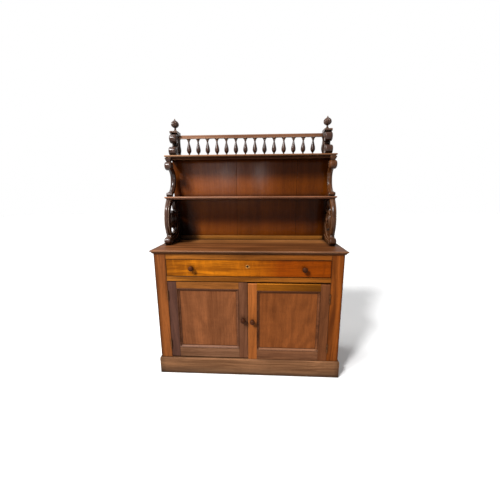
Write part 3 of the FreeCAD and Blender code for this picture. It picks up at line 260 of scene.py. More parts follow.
def polished_wood(name, colour, grain, seed, contrast=1.0, ripple=0.0, flame=None, edge=WAX_AND_SHADE_EDGE, edge_wear_and_shade=0.6,
                  wax_and_shade=0.85, rough=0.45, gloss=0.06, light_and_tone_fades=(), painted_shade_under_shelves=1.0, bump=0.22, edge_size=0.0035):
    """Wood around one colour, with its grain along one axis. Each fade is one or more runs, from one place to
    another along an axis, and the tint where all of them end; most fades are painted light and shade. Painted
    shade darkens what lies deep under a shelf."""
    middle = shade(*colour)
    deep = tinted(middle, DEEP_TINT)
    light = tinted(middle, LIGHT_TINT)
    material, tree, output = new_finish(name)
    place = add(tree, "TexCoord").outputs["Object"]
    drift = add(tree, "TexNoise", {"Vector": place, "Scale": 2.3, "Detail": 1.0})
    bend = add(tree, "VectorMath", {0: drift.outputs["Color"], 1: (0.06, 0.06, 0.06)}, operation="MULTIPLY")
    wandering = add(tree, "VectorMath", {0: place, 1: bend.outputs[0]}, operation="ADD").outputs[0]

    broad = grained_noise(tree, wandering, grain, *BROAD_BANDS, seed + 11)
    streaks = grained_noise(tree, wandering, grain, *STREAKS, seed, 0.2)
    lines = grained_noise(tree, wandering, grain, *THIN_LINES, seed + 5)
    fibres = grained_noise(tree, wandering, grain, *FIBRES, seed + 17)
    pores = grained_noise(tree, place, grain, *PORES, seed + 7)
    clouds = add(tree, "TexNoise", {"Vector": place, "Scale": 3.1, "Detail": 3.0}).outputs["Fac"]

    heavy = sum_up(tree, "ADD", times(tree, broad, BAND_SHARE), times(tree, streaks, STREAK_SHARE))
    tone = sum_up(tree, "ADD", heavy, times(tree, lines, LINE_SHARE))
    reach = TONE_REACH / contrast
    tone = stretch(tree, tone, 0.5 - reach, 0.5 + reach)
    colour = mix(tree, stretch(tree, tone, 0.0, 0.5), deep, middle)
    colour = mix(tree, stretch(tree, tone, 0.5, 1.0), colour, light)
    if ripple:
        shimmer = grained_noise(tree, wandering, grain, *RIPPLES, seed + 23, 0.6)
        colour = mix(tree, times(tree, stretch(tree, shimmer, 0.5, 0.7), ripple), colour, light)
        colour = mix(tree, times(tree, stretch(tree, shimmer, 0.46, 0.3), ripple), colour, deep)
    if flame is not None:
        arches = flame_arches(tree, wandering, flame, seed)
        colour = mix(tree, times(tree, arches, ARCH_SHARE), colour, deep)
    colour = mix(tree, 0.4, colour, stretch(tree, fibres, 0.3, 0.7, 0.6, 1.25), "MULTIPLY")
    colour = mix(tree, times(tree, stretch(tree, pores, 0.6, 0.72), 0.4), colour, shade(*PORE_BROWN))
    colour = mix(tree, 0.5, colour, stretch(tree, clouds, 0.3, 0.72, 0.72, 1.2), "MULTIPLY")

    # Edges: rubbed pale where the edge colour is pale, and where it is dark, dark old wax with the painted
    # shade of the gaps beside them.
    rounded = add(tree, "Bevel", {"Radius": edge_size}, samples=4)
    flat = add(tree, "NewGeometry").outputs["Normal"]
    agreement = add(tree, "VectorMath", {0: rounded.outputs[0], 1: flat}, operation="DOT_PRODUCT")
    near_edge = stretch(tree, agreement.outputs["Value"], 0.992, 0.92)
    edge_marks = times(tree, near_edge, stretch(tree, broad, 0.4, 0.6, 0.55, 1.0))
    colour = mix(tree, times(tree, edge_marks, edge_wear_and_shade), colour, mix(tree, 0.85, light, shade(*edge)))

    # Corners and gaps: dark old wax and painted shade, where ambient occlusion finds them.
    corner = add(tree, "AmbientOcclusion", {"Distance": 0.035}, samples=6).outputs["AO"]
    wax_and_shade_share = times(tree, stretch(tree, corner, 0.9, 0.42), wax_and_shade)
    colour = mix(tree, wax_and_shade_share, colour, shade(*WAX_AND_SHADE_DARK))
    # Fades tint the colour by place; most are painted light and shade, the rest make an end paler or darker.
    for *runs, tint in light_and_tone_fades:
        spot = add(tree, "SeparateXYZ", {"Vector": place})
        share = 1.0
        for axis, start, end in runs:
            share = times(tree, share, stretch(tree, spot.outputs[axis], start, end))
        colour = mix(tree, 1.0, colour, mix(tree, share, UNCHANGED, (*tint, 1.0)), "MULTIPLY")
    # Painted shade deep under the shelves, found by a wide ambient occlusion.
    if painted_shade_under_shelves < 1:
        open_sky = add(tree, "AmbientOcclusion", {"Distance": 0.24}, samples=8).outputs["AO"]
        colour = mix(tree, 1.0, colour, stretch(tree, open_sky, 0.3, 0.7, painted_shade_under_shelves, 1.0), "MULTIPLY")

    dull = stretch(tree, clouds, 0.3, 0.7, rough * 0.85, rough * 1.2)
    fine_bump = add(tree, "Bump", {"Strength": bump, "Distance": 0.0004, "Height": fibres})
    hand_bump = add(tree, "Bump", {"Strength": bump, "Distance": 0.004, "Height": broad,
                                   "Normal": fine_bump.outputs[0]})
    surface = add(tree, "BsdfPrincipled", {"Base Color": colour, "Roughness": dull,
                                           "Normal": hand_bump.outputs[0], "Specular IOR Level": gloss})
    tree.links.new(surface.outputs[0], output.inputs["Surface"])
    return material


# %% [markdown]
# Each board has its own tone. The drawer front is a golden, well figured cut; the stiles are redder; the left
# door's frame has gone dark and purplish while the right door's meeting stile is bright orange; the carved
# work above is nearly brown-black with bright rubbed places, and the right brackets' warmer copy of it is
# painted light. Hidden boards are bare pine. Fades make a board darker or paler towards an end or in a
# corner. Most of them are painted light and shade: the daylight falling off to the right, the shadows of the
# left brackets, lit door edges and a lit moulding, and the top board's back painted paler against the shade
# under the middle shelf. The rest only make a board paler or darker towards one end. Those of the upper back
# boards are kept to their front.

# %% Tones of the boards
PINE_BARE = (174, 130, 82)
OAK_LINING = (158, 118, 74)
CARVED_BROWN = (60, 34, 20)
# The right brackets' warmer tone is painted light: their inner sides face the daylight.
CARVED_SUNLIT = (80, 46, 22)
KNOB_BROWN = (66, 33, 14)
LEFT_PANEL_MIDDLE = -0.256
RIGHT_PANEL_MIDDLE = 0.256

WOODS = [
    ("plinth_front", (132, 91, 61), "x"), ("plinth_returns", (120, 80, 52), "y"),
    ("plinth_back", PINE_BARE, "x"),
    ("carcass_side_left", (118, 65, 33), "z"), ("carcass_side_right", (118, 62, 26), "z"),
    ("front_stile_left", (122, 68, 31), "z"), ("front_stile_right", (127, 65, 20), "z"),
    ("top_rail", (142, 84, 29), "x"), ("drawer_rail", (170, 104, 34), "x"), ("top_board", (105, 62, 32), "x"),
    # The carcass floor's nearly black tone is painted shade for the gap under the doors.
    ("carcass_floor", (50, 30, 18), "x"), ("carcass_back_boards", PINE_BARE, "z"),
    ("inner_shelf", PINE_BARE, "x"),
    ("shelf_bearers", PINE_BARE, "y"), ("drawer_runners", PINE_BARE, "y"), ("drawer_kickers", PINE_BARE, "y"),
    ("drawer_stops", PINE_BARE, "x"), ("drawer_bottom", PINE_BARE, "x"),
    ("drawer_front", (204, 117, 15), "x"), ("drawer_side_left", OAK_LINING, "y"),
    ("drawer_side_right", OAK_LINING, "y"), ("drawer_back", OAK_LINING, "x"),
    ("left_door_hinge_stile", (82, 53, 43), "z"), ("left_door_meeting_stile", (116, 73, 49), "z"),
    ("left_door_top_rail", (140, 84, 36), "x"), ("left_door_bottom_rail", (142, 99, 71), "x"),
    ("left_door_panel", (133, 79, 46), "z"), ("left_door_moulding", (104, 64, 42), "x"),
    ("right_door_hinge_stile", (106, 61, 34), "z"), ("right_door_meeting_stile", (151, 85, 38), "z"),
    ("right_door_top_rail", (130, 74, 12), "x"), ("right_door_bottom_rail", (115, 74, 49), "x"),
    ("right_door_panel", (129, 71, 33), "z"), ("right_door_moulding", (106, 62, 36), "x"),
    ("upper_back_boards", (139, 72, 24), "z"), ("back_skirting_rail", (125, 78, 28), "x"),
    ("middle_shelf", (112, 66, 42), "x"), ("top_shelf", (118, 76, 46), "x"),
    # The cove under the top shelf is darker than the shelf: painted shade, as it faces down under the nosing.
    ("top_shelf_cove", (70, 40, 22), "x"), ("gallery_rail", (112, 74, 52), "x"),
    ("drawer_knobs", KNOB_BROWN, "y"), ("left_door_knob", KNOB_BROWN, "y"),
    ("right_door_knob", KNOB_BROWN, "y"),
]
PALE_EDGED = {"edge": PALE_EDGE, "edge_wear_and_shade": 0.9, "edge_size": 0.005}
# Dark edges: dark old wax, and painted shade in the gaps beside them.
WAX_AND_SHADE_EDGED = {"edge_wear_and_shade": 1.0, "edge_size": 0.010}
BOARD_FRONT = ("Y", 0.217, 0.213)
RIGHT_DOOR_TOP = ("Z", 0.643, 0.645)
SPECIALS = {
    # Painted shade on the drawer front: darker towards the right, as the daylight falls off, and darker at
    # its left end. Its wide dark edges are painted shade in the gaps round it.
    "drawer_front": {"ripple": 0.35, "contrast": 1.3, "edge_size": 0.012, "edge_wear_and_shade": 1.0,
                     "light_and_tone_fades": [(("X", -0.2, 0.2), (0.33, 0.2, 0.04)),
                               (("X", -0.36, -0.51), (0.6, 0.6, 0.9))]},
    # Painted shade on both rails: darker towards the right, as the daylight falls off, with dark edges for
    # the shade in their gaps.
    "top_rail": {**WAX_AND_SHADE_EDGED, "contrast": 1.4, "light_and_tone_fades": [(("X", -0.35, 0.45), (0.65, 0.55, 0.5))]},
    "drawer_rail": {**WAX_AND_SHADE_EDGED, "contrast": 1.4, "light_and_tone_fades": [(("X", -0.35, 0.45), (0.75, 0.66, 0.6))]},
    "left_door_panel": {"flame": LEFT_PANEL_MIDDLE, "contrast": 0.65, "ripple": 0.15},
    "right_door_panel": {"flame": RIGHT_PANEL_MIDDLE, "contrast": 0.65, "ripple": 0.15},
    # Painted light and shade on the front of the upper back boards: darker towards the right, where less
    # daylight falls; darker in the lower bay; the left brackets' shadows painted at the left end; a paler
    # band high in the lower bay that lifts the middle shelf's shade; and painted shade deep under the
    # shelves.
    "upper_back_boards": {"contrast": 0.5, "rough": 0.15, "bump": 0.06, "painted_shade_under_shelves": 0.7,
                          "light_and_tone_fades": [(BOARD_FRONT, ("X", -0.5, 0.3), (0.47, 0.42, 0.15)),
                                    (BOARD_FRONT, ("Z", 1.2, 1.12), (0.7, 0.68, 0.5)),
                                    (BOARD_FRONT, ("X", -0.4, -0.5), (0.5, 0.48, 0.48)),
                                    (BOARD_FRONT, ("X", -0.42, -0.48), ("Z", 1.17, 1.12),
                                     (0.5, 0.5, 0.55)),
                                    (BOARD_FRONT, ("X", -0.37, -0.43), ("Z", 1.12, 0.95),
                                     (0.34, 0.34, 0.42)),
                                    (BOARD_FRONT, ("Z", 1.0, 1.1), ("Z", 1.19, 1.17),
                                     (1.55, 1.75, 1.3))]},
    # Painted shadow of the left lower bracket at the skirting's left end.
    "back_skirting_rail": {"light_and_tone_fades": [(("X", -0.38, -0.42), (0.28, 0.28, 0.32))]},
    # The carcass floor is matt and nearly black: painted shade, so that the gap under the doors stays dark.
    "carcass_floor": {"rough": 0.9, "gloss": 0.0, "edge_wear_and_shade": 0.0},
    # Painted light and shade on the top board: its back is painted paler against the shade under the shelves,
    # a shadow is painted beside the left lower bracket, and the two ends are darker.
    "top_board": {"contrast": 1.6, "edge": PALE_EDGE, "edge_wear_and_shade": 0.5, "edge_size": 0.008,
                  "light_and_tone_fades": [(("Y", 0.02, 0.2), (2.8, 3.3, 3.2)), (("X", -0.592, -0.608), (0.3, 0.27, 0.25)),
                            (("X", 0.592, 0.608), (0.4, 0.37, 0.35)),
                            (("X", -0.38, -0.44), ("Y", 0.0, 0.09), (0.28, 0.27, 0.28))]},
    # Painted shade along the outer edge of each front stile.
    "front_stile_left": {**WAX_AND_SHADE_EDGED, "contrast": 1.7,
                         "light_and_tone_fades": [(("X", -0.562, -0.588), (0.3, 0.28, 0.28))]},
    "front_stile_right": {**WAX_AND_SHADE_EDGED, "contrast": 1.5,
                          "light_and_tone_fades": [(("X", 0.574, 0.59), (0.45, 0.42, 0.4))]},
    # Painted highlight: the bottom length of each panel's moulding is paler, where light falls on its upper
    # face.
    "left_door_moulding": {**WAX_AND_SHADE_EDGED, "edge_size": 0.006,
                           "light_and_tone_fades": [(("Z", 0.2072, 0.2062), (1.45, 1.9, 2.6))]},
    "right_door_moulding": {**WAX_AND_SHADE_EDGED, "edge_size": 0.006,
                            "light_and_tone_fades": [(("Z", 0.1992, 0.1982), (1.45, 1.9, 2.6))]},
    # Painted light on the right door's top edge, which the daylight reaches through the gap, with less wax
    # and shade there. The top rail is also darker towards the right, as the daylight falls off, and the
    # meeting stile is paler along its meeting edge.
    "right_door_top_rail": {"wax_and_shade": 0.2, "light_and_tone_fades": [(RIGHT_DOOR_TOP, (3.0, 3.2, 4.5)),
                                                    (("X", 0.15, 0.46), (0.6, 0.6, 0.5))]},
    "right_door_hinge_stile": {"wax_and_shade": 0.3, "light_and_tone_fades": [(RIGHT_DOOR_TOP, (1.6, 1.6, 1.6))]},
    "right_door_meeting_stile": {"wax_and_shade": 0.3, "light_and_tone_fades": [(RIGHT_DOOR_TOP, (2.2, 2.4, 3.0)),
                                                         (("X", 0.006, 0.004), (1.6, 1.7, 2.0))]},
    "middle_shelf": {**PALE_EDGED, "light_and_tone_fades": [(("X", 0.1, -0.35), (1.6, 1.85, 2.1))]},
    "top_shelf": {**PALE_EDGED, "light_and_tone_fades": [(("X", -0.15, -0.5), (1.3, 1.5, 1.75))]},
    "gallery_rail": {**PALE_EDGED, "light_and_tone_fades": [(("X", -0.1, -0.5), (1.7, 1.95, 2.2))]},
    "plinth_front": {**PALE_EDGED, "edge_wear_and_shade": 0.7, "wax_and_shade": 0.5, "contrast": 1.3,
                     "light_and_tone_fades": [(("Z", 0.06, 0.0), (0.5, 0.58, 0.68)),
                               (("X", -0.56, -0.6), (0.5, 0.55, 0.6)),
                               (("X", 0.57, 0.6), (0.5, 0.5, 0.5))]},
}


def finish_for(colour):
    """Bare wood is rough and unwaxed, polished wood is not."""
    if colour in (PINE_BARE, OAK_LINING):
        return {"rough": 0.66, "gloss": 0.2, "edge_wear_and_shade": 0.15, "wax_and_shade": 0.5}
    return {}


def dress(node, material):
    """Gives a board its finish in place of the plain one it came with."""
    slots = boards[node].data.materials
    slots.clear()
    slots.append(material)


for number, (node, colour, grain) in enumerate(WOODS):
    options = {**finish_for(colour), **SPECIALS.get(node, {})}
    dress(node, polished_wood("wood_" + node, colour, grain, number + 1, **options))
carved_wood = polished_wood("wood_carved", CARVED_BROWN, "z", 71, edge=PALE_EDGE, edge_wear_and_shade=0.8, rough=0.22,
                            gloss=0.28)
# The right brackets get a warmer, lighter copy of the carving: painted light, as their inner sides face the
# daylight from the left.
sunlit_carved_wood = polished_wood("wood_carved_sunlit", CARVED_SUNLIT, "z", 77, edge=PALE_EDGE, edge_wear_and_shade=0.6,
                                 rough=0.24, gloss=0.18, contrast=1.8, wax_and_shade=1.0)
carved_woods = {"left": carved_wood, "right": sunlit_carved_wood}
print("woods", len(WOODS) + len(carved_woods))

# %% [markdown]
# The metalwork is small: brass hinges, the bolt, the latch and the keyhole plate, and a dull steel lock. Aged
# brass is darker in its hollows and has fine scratches, so its roughness follows a stretched noise. The
# hinges have been polished over with the wood and have gone nearly black.

# %% Brass and steel
KEYHOLE = (0.0, -0.192, 0.76)
# Inner and outer radius of the painted shade round the keyhole.
KEYHOLE_SHADE_INNER, KEYHOLE_SHADE_OUTER = 0.006, 0.0085


def aged_metal(name, bright, tarnish, roughness, keyhole_shade_centre=None):
    """Metal that is darker in its hollows; given a keyhole's centre, painted shade nearly black round it
    stands for the dark of the keyhole.
    """
    material, tree, output = new_finish(name)
    place = add(tree, "TexCoord").outputs["Object"]
    blotches = add(tree, "TexNoise", {"Vector": place, "Scale": 90.0, "Detail": 4.0}).outputs["Fac"]
    scratches = grained_noise(tree, place, "z", 900.0, 60.0, 2.0, 3)
    corner = add(tree, "AmbientOcclusion", {"Distance": 0.006}, samples=6).outputs["AO"]
    worn = times(tree, stretch(tree, blotches, 0.35, 0.65), stretch(tree, corner, 0.4, 0.9))
    colour = mix(tree, worn, shade(*tarnish), shade(*bright))
    # Painted shade round the keyhole, nearly black, for the dark of its opening.
    if keyhole_shade_centre:
        away = add(tree, "VectorMath", {0: place, 1: keyhole_shade_centre}, operation="DISTANCE").outputs["Value"]
        colour = mix(tree, stretch(tree, away, KEYHOLE_SHADE_INNER, KEYHOLE_SHADE_OUTER), shade(*WAX_AND_SHADE_DARK), colour)
    dull = stretch(tree, scratches, 0.3, 0.7, roughness - 0.08, roughness + 0.12)
    bump = add(tree, "Bump", {"Strength": 0.2, "Distance": 0.0002, "Height": scratches})
    surface = add(tree, "BsdfPrincipled", {"Base Color": colour, "Roughness": dull, "Metallic": 1.0,
                                           "Normal": bump.outputs[0]})
    tree.links.new(surface.outputs[0], output.inputs["Surface"])
    return material


brass = aged_metal("aged_brass", (206, 168, 98), (110, 78, 40), 0.34)
keyhole_plate_brass = aged_metal("keyhole_plate_brass", (196, 140, 74), (120, 74, 28), 0.5, KEYHOLE)
bronze = aged_metal("dark_bronze", (112, 74, 44), (62, 38, 24), 0.55)
steel = aged_metal("dull_steel", (150, 146, 140), (78, 70, 62), 0.42)
for node in ("carcass_hinge_leaves", "left_door_hinge_leaves", "right_door_hinge_leaves", "hinge_pins"):
    dress(node, bronze)
for node in ("left_door_bolt", "right_door_latch_tongue"):
    dress(node, brass)
dress("drawer_escutcheon", keyhole_plate_brass)
for node in ("drawer_lock_case", "drawer_lock_bolt"):
    dress(node, steel)
print("metals", [metal.name for metal in (brass, keyhole_plate_brass, bronze, steel)])

# %% [markdown]
# No edge of a real board is knife sharp: a light touch of sandpaper and a century of dusting leave a small
# round that catches the light. The boards' meshes stay as they are, and modifiers give them that round. A
# weld joins the triangles and a planar dissolve makes each flat side one face, so that the bevel meets no
# stray edge and folds nothing at a bore. The top rail's round is finer, because the lock's bolt goes into a
# close mortise in it. Run mouldings and turned knobs keep the crisp lines that the tool left.

# %% Softened edges
EDGE_ROUND = 0.0011
FINE_ROUND = {"top_rail": 0.0003}
CRISP_NODES = ("drawer_knobs", "left_door_knob", "right_door_knob", "left_door_moulding",
               "right_door_moulding", "top_shelf_cove")
WELD_REACH = 0.00001


def soften(node, width):
    """Gives a board's sharp edges a small round."""
    board = boards[node]
    weld = board.modifiers.new("weld", "WELD")
    weld.merge_threshold = WELD_REACH
    flats = board.modifiers.new("flat_sides", "DECIMATE")
    flats.decimate_type = "DISSOLVE"
    flats.angle_limit = math.radians(0.5)
    bevel = board.modifiers.new("soft_edges", "BEVEL")
    bevel.width = width
    bevel.segments = 2
    bevel.limit_method = "ANGLE"
    bevel.angle_limit = math.radians(35)
    board.modifiers.new("even_shading", "WEIGHTED_NORMAL")


soft_nodes = [node for node, _, _ in WOODS if node not in CRISP_NODES]
for node in soft_nodes:
    soften(node, FINE_ROUND.get(node, EDGE_ROUND))
print("softened", len(soft_nodes))

# %% [markdown]
# The brackets are carved work: a flat web with a rounded bar along its front edge, and rolls like small
# barrels where the bar begins and ends. Each bracket is drawn from the side, with u forward from the back
# board and v up from the shelf it stands on. A smooth line runs through a few points, and a section is
# carried along it. Two shallow grooves down the front of the section make the bar catch two lights.

# %% Helpers for carving
STEPS = 7
SECTION_POINTS = 36
GROOVE_SPOTS, GROOVE_SPREAD = (-0.5, 0.5), 0.12
RIM_STEPS = 5
BARREL_TURNS = 40
JOIN_REACH = 0.000002
SHARP_ANGLE = math.radians(40)


def smooth_line(points, steps=STEPS):
    """Curve through the points, in even steps between each two, with no corner at any of them."""
    ends = [points[0]] + list(points) + [points[-1]]
    line = []
    for before, start, end, after in zip(ends, ends[1:], ends[2:], ends[3:]):
        for step in range(steps):
            t = step / steps
            line.append(tuple(0.5 * (2 * b + (c - a) * t + (2 * a - 5 * b + 4 * c - d) * t * t
                                     + (3 * b - a - 3 * c + d) * t ** 3)
                              for a, b, c, d in zip(before, start, end, after)))
    return line + [tuple(points[-1])]


def bar_section(groove):
    """Closed oval (across, outward), each from -1 to 1, with two shallow grooves on the outward side."""
    section = []
    for number in range(SECTION_POINTS):
        angle = 2 * math.pi * number / SECTION_POINTS
        across = math.copysign(abs(math.cos(angle)) ** 0.8, math.cos(angle))
        outward = math.copysign(abs(math.sin(angle)) ** 0.8, math.sin(angle))
        dip = sum(math.exp(-((across - spot) / GROOVE_SPREAD) ** 2) for spot in GROOVE_SPOTS)
        if outward > 0:
            outward *= 1 - groove * dip
        section.append((across, outward))
    return section


def skin(rings, close_ends=True):
    """Vertices and faces of a tube through rings of equal length."""
    size = len(rings[0])
    points = [point for ring in rings for point in ring]
    faces = []
    for row in range(len(rings) - 1):
        for column in range(size):
            following = (column + 1) % size
            faces.append((row * size + column, row * size + following, (row + 1) * size + following,
                          (row + 1) * size + column))
    if close_ends:
        faces.append(tuple(range(size)))
        faces.append(tuple(range((len(rings) - 1) * size, len(rings) * size)))
    return points, faces


def swept_bar(place, points, half_width, half_depth, groove=0.0, taper=None):
    """Oval bar along a smooth line that goes up the front of a bracket."""
    line = smooth_line(points)
    section = bar_section(groove)
    rings = []
    for number, (u, v) in enumerate(line):
        before = line[max(number - 1, 0)]
        after = line[min(number + 1, len(line) - 1)]
        run = Vector((after[0] - before[0], after[1] - before[1])).normalized()
        share = number / (len(line) - 1)
        size = taper(share) if taper else 1.0
        rings.append([place(across * half_width * size, u + run.y * outward * half_depth * size,
                            v - run.x * outward * half_depth * size) for across, outward in section])
    return skin(rings)


def barrel(place, centre, radius, half_width, rim=0.32):
    """Roll on an axis from side to side, with rounded rims, a sunk ring and a button at each end."""
    soft = radius * rim
    outline = [(half_width + 0.05 * radius, 0.0), (half_width + 0.04 * radius, 0.12 * radius),
               (half_width - 0.01 * radius, 0.26 * radius), (half_width - 0.14 * radius, 0.34 * radius),
               (half_width - 0.14 * radius, 0.46 * radius), (half_width, 0.58 * radius)]
    for number in range(RIM_STEPS + 1):
        angle = math.pi / 2 * number / RIM_STEPS
        outline.append((half_width - soft + soft * math.cos(angle), radius - soft + soft * math.sin(angle)))
    outline = outline + [(-across, out) for across, out in reversed(outline)]
    angles = [2 * math.pi * number / BARREL_TURNS for number in range(BARREL_TURNS)]
    rings = [[place(across, centre[0] + out * math.cos(angle), centre[1] + out * math.sin(angle))
              for angle in angles] for across, out in outline]
    return skin(rings, close_ends=False)


def plate(place, outline, half_width, holes=()):
    """Flat web of one outline with holes, the same on both sides."""
    loops = [list(outline)] + [list(hole) for hole in holes]
    flat = [Vector((u, v, 0)) for loop in loops for u, v in loop]
    count = len(flat)
    points = [place(side * half_width, spot.x, spot.y) for side in (-1, 1) for spot in flat]
    faces = []
    for triangle in tessellate_polygon([[Vector((u, v, 0)) for u, v in loop] for loop in loops]):
        faces.append(tuple(triangle))
        faces.append(tuple(index + count for index in reversed(triangle)))
    start = 0
    for loop in loops:
        for number in range(len(loop)):
            one = start + number
            two = start + (number + 1) % len(loop)
            faces.append((one, two, two + count, one + count))
        start += len(loop)
    return points, faces


def arc(centre, radius, first, last, count=14):
    """Points on a circle from one angle to another, in degrees."""
    return [(centre[0] + radius * math.cos(math.radians(first + (last - first) * number / count)),
             centre[1] + radius * math.sin(math.radians(first + (last - first) * number / count)))
            for number in range(count + 1)]


def carve(name, shapes, material):
    """One object from several shapes, smooth except at sharp edges."""
    mesh = bpy.data.meshes.new(name)
    work = bmesh.new()
    for points, faces in shapes:
        corners = [work.verts.new(point) for point in points]
        for face in faces:
            work.faces.new([corners[index] for index in face])
    bmesh.ops.remove_doubles(work, verts=work.verts, dist=JOIN_REACH)
    bmesh.ops.recalc_face_normals(work, faces=work.faces)
    work.to_mesh(mesh)
    work.free()
    mesh.shade_smooth()
    mesh.set_sharp_from_angle(angle=SHARP_ANGLE)
    mesh.materials.append(material)
    piece = bpy.data.objects.new(name, mesh)
    bpy.context.scene.collection.objects.link(piece)
    return piece


def stand_for(piece, node, body="carcass"):
    """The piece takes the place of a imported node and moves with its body."""
    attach(piece, body)
    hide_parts(node)


def side_place(centre_x, back_y, base_z):
    """Maps (across, u, v) of a bracket to the room."""
    def place(across, u, v):
        return (centre_x + across, back_y - u, base_z + v)
    return place


# %% [markdown]
# The lower brackets carry the middle shelf. A strong bar bows out like a drawn bow from the foot to the
# shelf, and inside it a volute curls round an eye, tied to the back board by a short tail. Below the volute
# a small crescent is pierced, and a leaf lies along the foot.

# %% Lower brackets
BRACKET_X = 0.5545
PANEL_Y = 0.2095
TOP_BOARD_Z = 0.860
MIDDLE_SHELF_Z = 1.183
TOP_SHELF_Z = 1.458
VOLUTE = (0.118, 0.167)
VOLUTE_RADIUS = 0.062
COIL_STEPS = 59
COIL_START, COIL_SWEEP = -40, 560
COIL_HALF = 0.0085
WEB_HALF = 0.0115
EYE_HALF = 0.0215
BOW_LOW, BOW_HIGH = 0.05, 0.19
LOWER_FOOT = (0.224, 0.026)
LOWER_LINE = [(0.212, 0.036), (0.195, 0.062), (0.207, 0.095), (0.2195, 0.15), (0.206, 0.222), (0.185, 0.263),
              (0.163, 0.291), (0.15, 0.304)]
LEAF_LINES = [[(0.2, 0.03), (0.15, 0.04), (0.1, 0.052), (0.058, 0.085), (0.036, 0.14), (0.034, 0.19)],
              [(0.2, 0.02), (0.14, 0.02), (0.085, 0.026), (0.04, 0.045), (0.016, 0.085)]]


def volute_coil(place, half_width):
    """Coil that winds inwards from the bar's side to the eye."""
    coil = []
    for number in range(COIL_STEPS + 1):
        share = number / COIL_STEPS
        angle = math.radians(COIL_START + COIL_SWEEP * share)
        out = VOLUTE_RADIUS * (0.92 - 0.66 * share)
        coil.append((VOLUTE[0] + out * math.cos(angle), VOLUTE[1] + out * math.sin(angle)))
    section = bar_section(0.0)
    rings = []
    for number, (u, v) in enumerate(coil):
        away = Vector((u - VOLUTE[0], v - VOLUTE[1])).normalized()
        size = 1.0 - 0.45 * number / COIL_STEPS
        rings.append([place(across * half_width, u + away.x * outward * COIL_HALF * size,
                            v + away.y * outward * COIL_HALF * size) for across, outward in section])
    return skin(rings)


def leaf_taper(share):
    """Size of a leaf along its length: full in the middle and thin at the ends."""
    return max(0.12, math.sin(math.pi * (0.12 + 0.86 * share)) ** 0.7)


def lower_bracket(side):
    """Webs, bar, volute, rolls and leaves of the bracket on one side."""
    place = side_place(side * BRACKET_X, PANEL_Y, TOP_BOARD_Z)
    bow = [point for point in smooth_line(LOWER_LINE) if BOW_LOW < point[1] < BOW_HIGH]
    outline = ([(0.0, 0.0), (0.224, 0.0)] + bow + arc(VOLUTE, VOLUTE_RADIUS, 20, 152)
               + [(0.03, 0.192), (0.0, 0.21)])
    head = smooth_line([(0.0, 0.291), (0.075, 0.2898), (0.1175, 0.2806), (0.15, 0.2593), (0.171, 0.2303)])
    head += [(0.206, 0.222), (0.185, 0.263), (0.163, 0.291), (0.15, 0.305), (0.0, 0.305)]
    crescent = arc(VOLUTE, VOLUTE_RADIUS + 0.004, -30, -118) + smooth_line(
        [(0.084, 0.085), (0.105, 0.072), (0.155, 0.07), (0.18, 0.0915)])
    stem = [(0.0, 0.2), (0.045, 0.215), (0.075, 0.24), (0.085, 0.292), (0.0, 0.292)]
    shapes = [plate(place, outline, WEB_HALF, [crescent]), plate(place, head, WEB_HALF),
              plate(place, stem, WEB_HALF), volute_coil(place, 0.0165),
              swept_bar(place, LOWER_LINE, 0.019, 0.0185, 0.2),
              barrel(place, LOWER_FOOT, 0.026, EYE_HALF), barrel(place, VOLUTE, 0.018, EYE_HALF)]
    shapes += [swept_bar(place, line, 0.017, 0.009, 0.0, leaf_taper) for line in LEAF_LINES]
    return shapes


for side, hand in ((-1, "left"), (1, "right")):
    piece = carve("carved_lower_bracket_" + hand, lower_bracket(side), carved_woods[hand])
    stand_for(piece, "lower_bracket_" + hand)
print("lower brackets", len(piece.data.polygons), "faces each")

# %% [markdown]
# The upper brackets are free S-scrolls: a small roll at the foot, a waist that leans back towards the board,
# and a large roll under the top shelf with a cushion between. The posts of the gallery are the same idea
# again, with two plump rolls in front of a square shaft and a block on top for the finial.

# %% Upper brackets and gallery posts
UPPER_ROLL = (0.117, 0.206)
UPPER_FOOT = (0.138, 0.014)
UPPER_LINE = [(0.134, 0.018), (0.094, 0.032), (0.0585, 0.0705), (0.0435, 0.1245), (0.0525, 0.162),
              (0.0775, 0.187), (0.1035, 0.202)]
CUSHION_MIDDLE = 0.115
CUSHION_POWER = 0.45
CUSHION_ROWS = [(0.23, 0.013, 0.009), (0.236, 0.0145, 0.011), (0.242, 0.0185, 0.0145), (0.25, 0.022, 0.0175),
                (0.2545, 0.0235, 0.019), (0.259, 0.0235, 0.019)]
POST_X = 0.5265
BACK_Y = 0.2235
POST_ROLL = (0.081, 0.1142)
POST_FOOT = (0.105, 0.030)
SHAFT_HALF, POST_WEB_HALF, CAP_HALF = 0.022, 0.0205, 0.0262
POST_LINE = [(0.1, 0.034), (0.07, 0.0615), (0.051, 0.073), (0.047, 0.084), (0.058, 0.098), (0.079, 0.1142)]


def cushion(place, centre, rows):
    """Soft square block that spreads upwards: each row is a height and half its size across and forward."""
    rings = []
    for height, half_across, half_forward in rows:
        ring = []
        for number in range(SECTION_POINTS):
            angle = 2 * math.pi * number / SECTION_POINTS
            across = math.copysign(abs(math.cos(angle)) ** CUSHION_POWER, math.cos(angle)) * half_across
            ahead = math.copysign(abs(math.sin(angle)) ** CUSHION_POWER, math.sin(angle)) * half_forward
            ring.append(place(across, centre + ahead, height))
        rings.append(ring)
    return skin(rings)


def upper_bracket(side):
    """Bar, rolls and cushion of the bracket on one side."""
    place = side_place(side * BRACKET_X, PANEL_Y, MIDDLE_SHELF_Z)
    return [swept_bar(place, UPPER_LINE, 0.0185, 0.0135, 0.14),
            barrel(place, UPPER_ROLL, 0.029, 0.0255, 0.45), barrel(place, UPPER_FOOT, 0.014, EYE_HALF),
            cushion(place, CUSHION_MIDDLE, CUSHION_ROWS)]


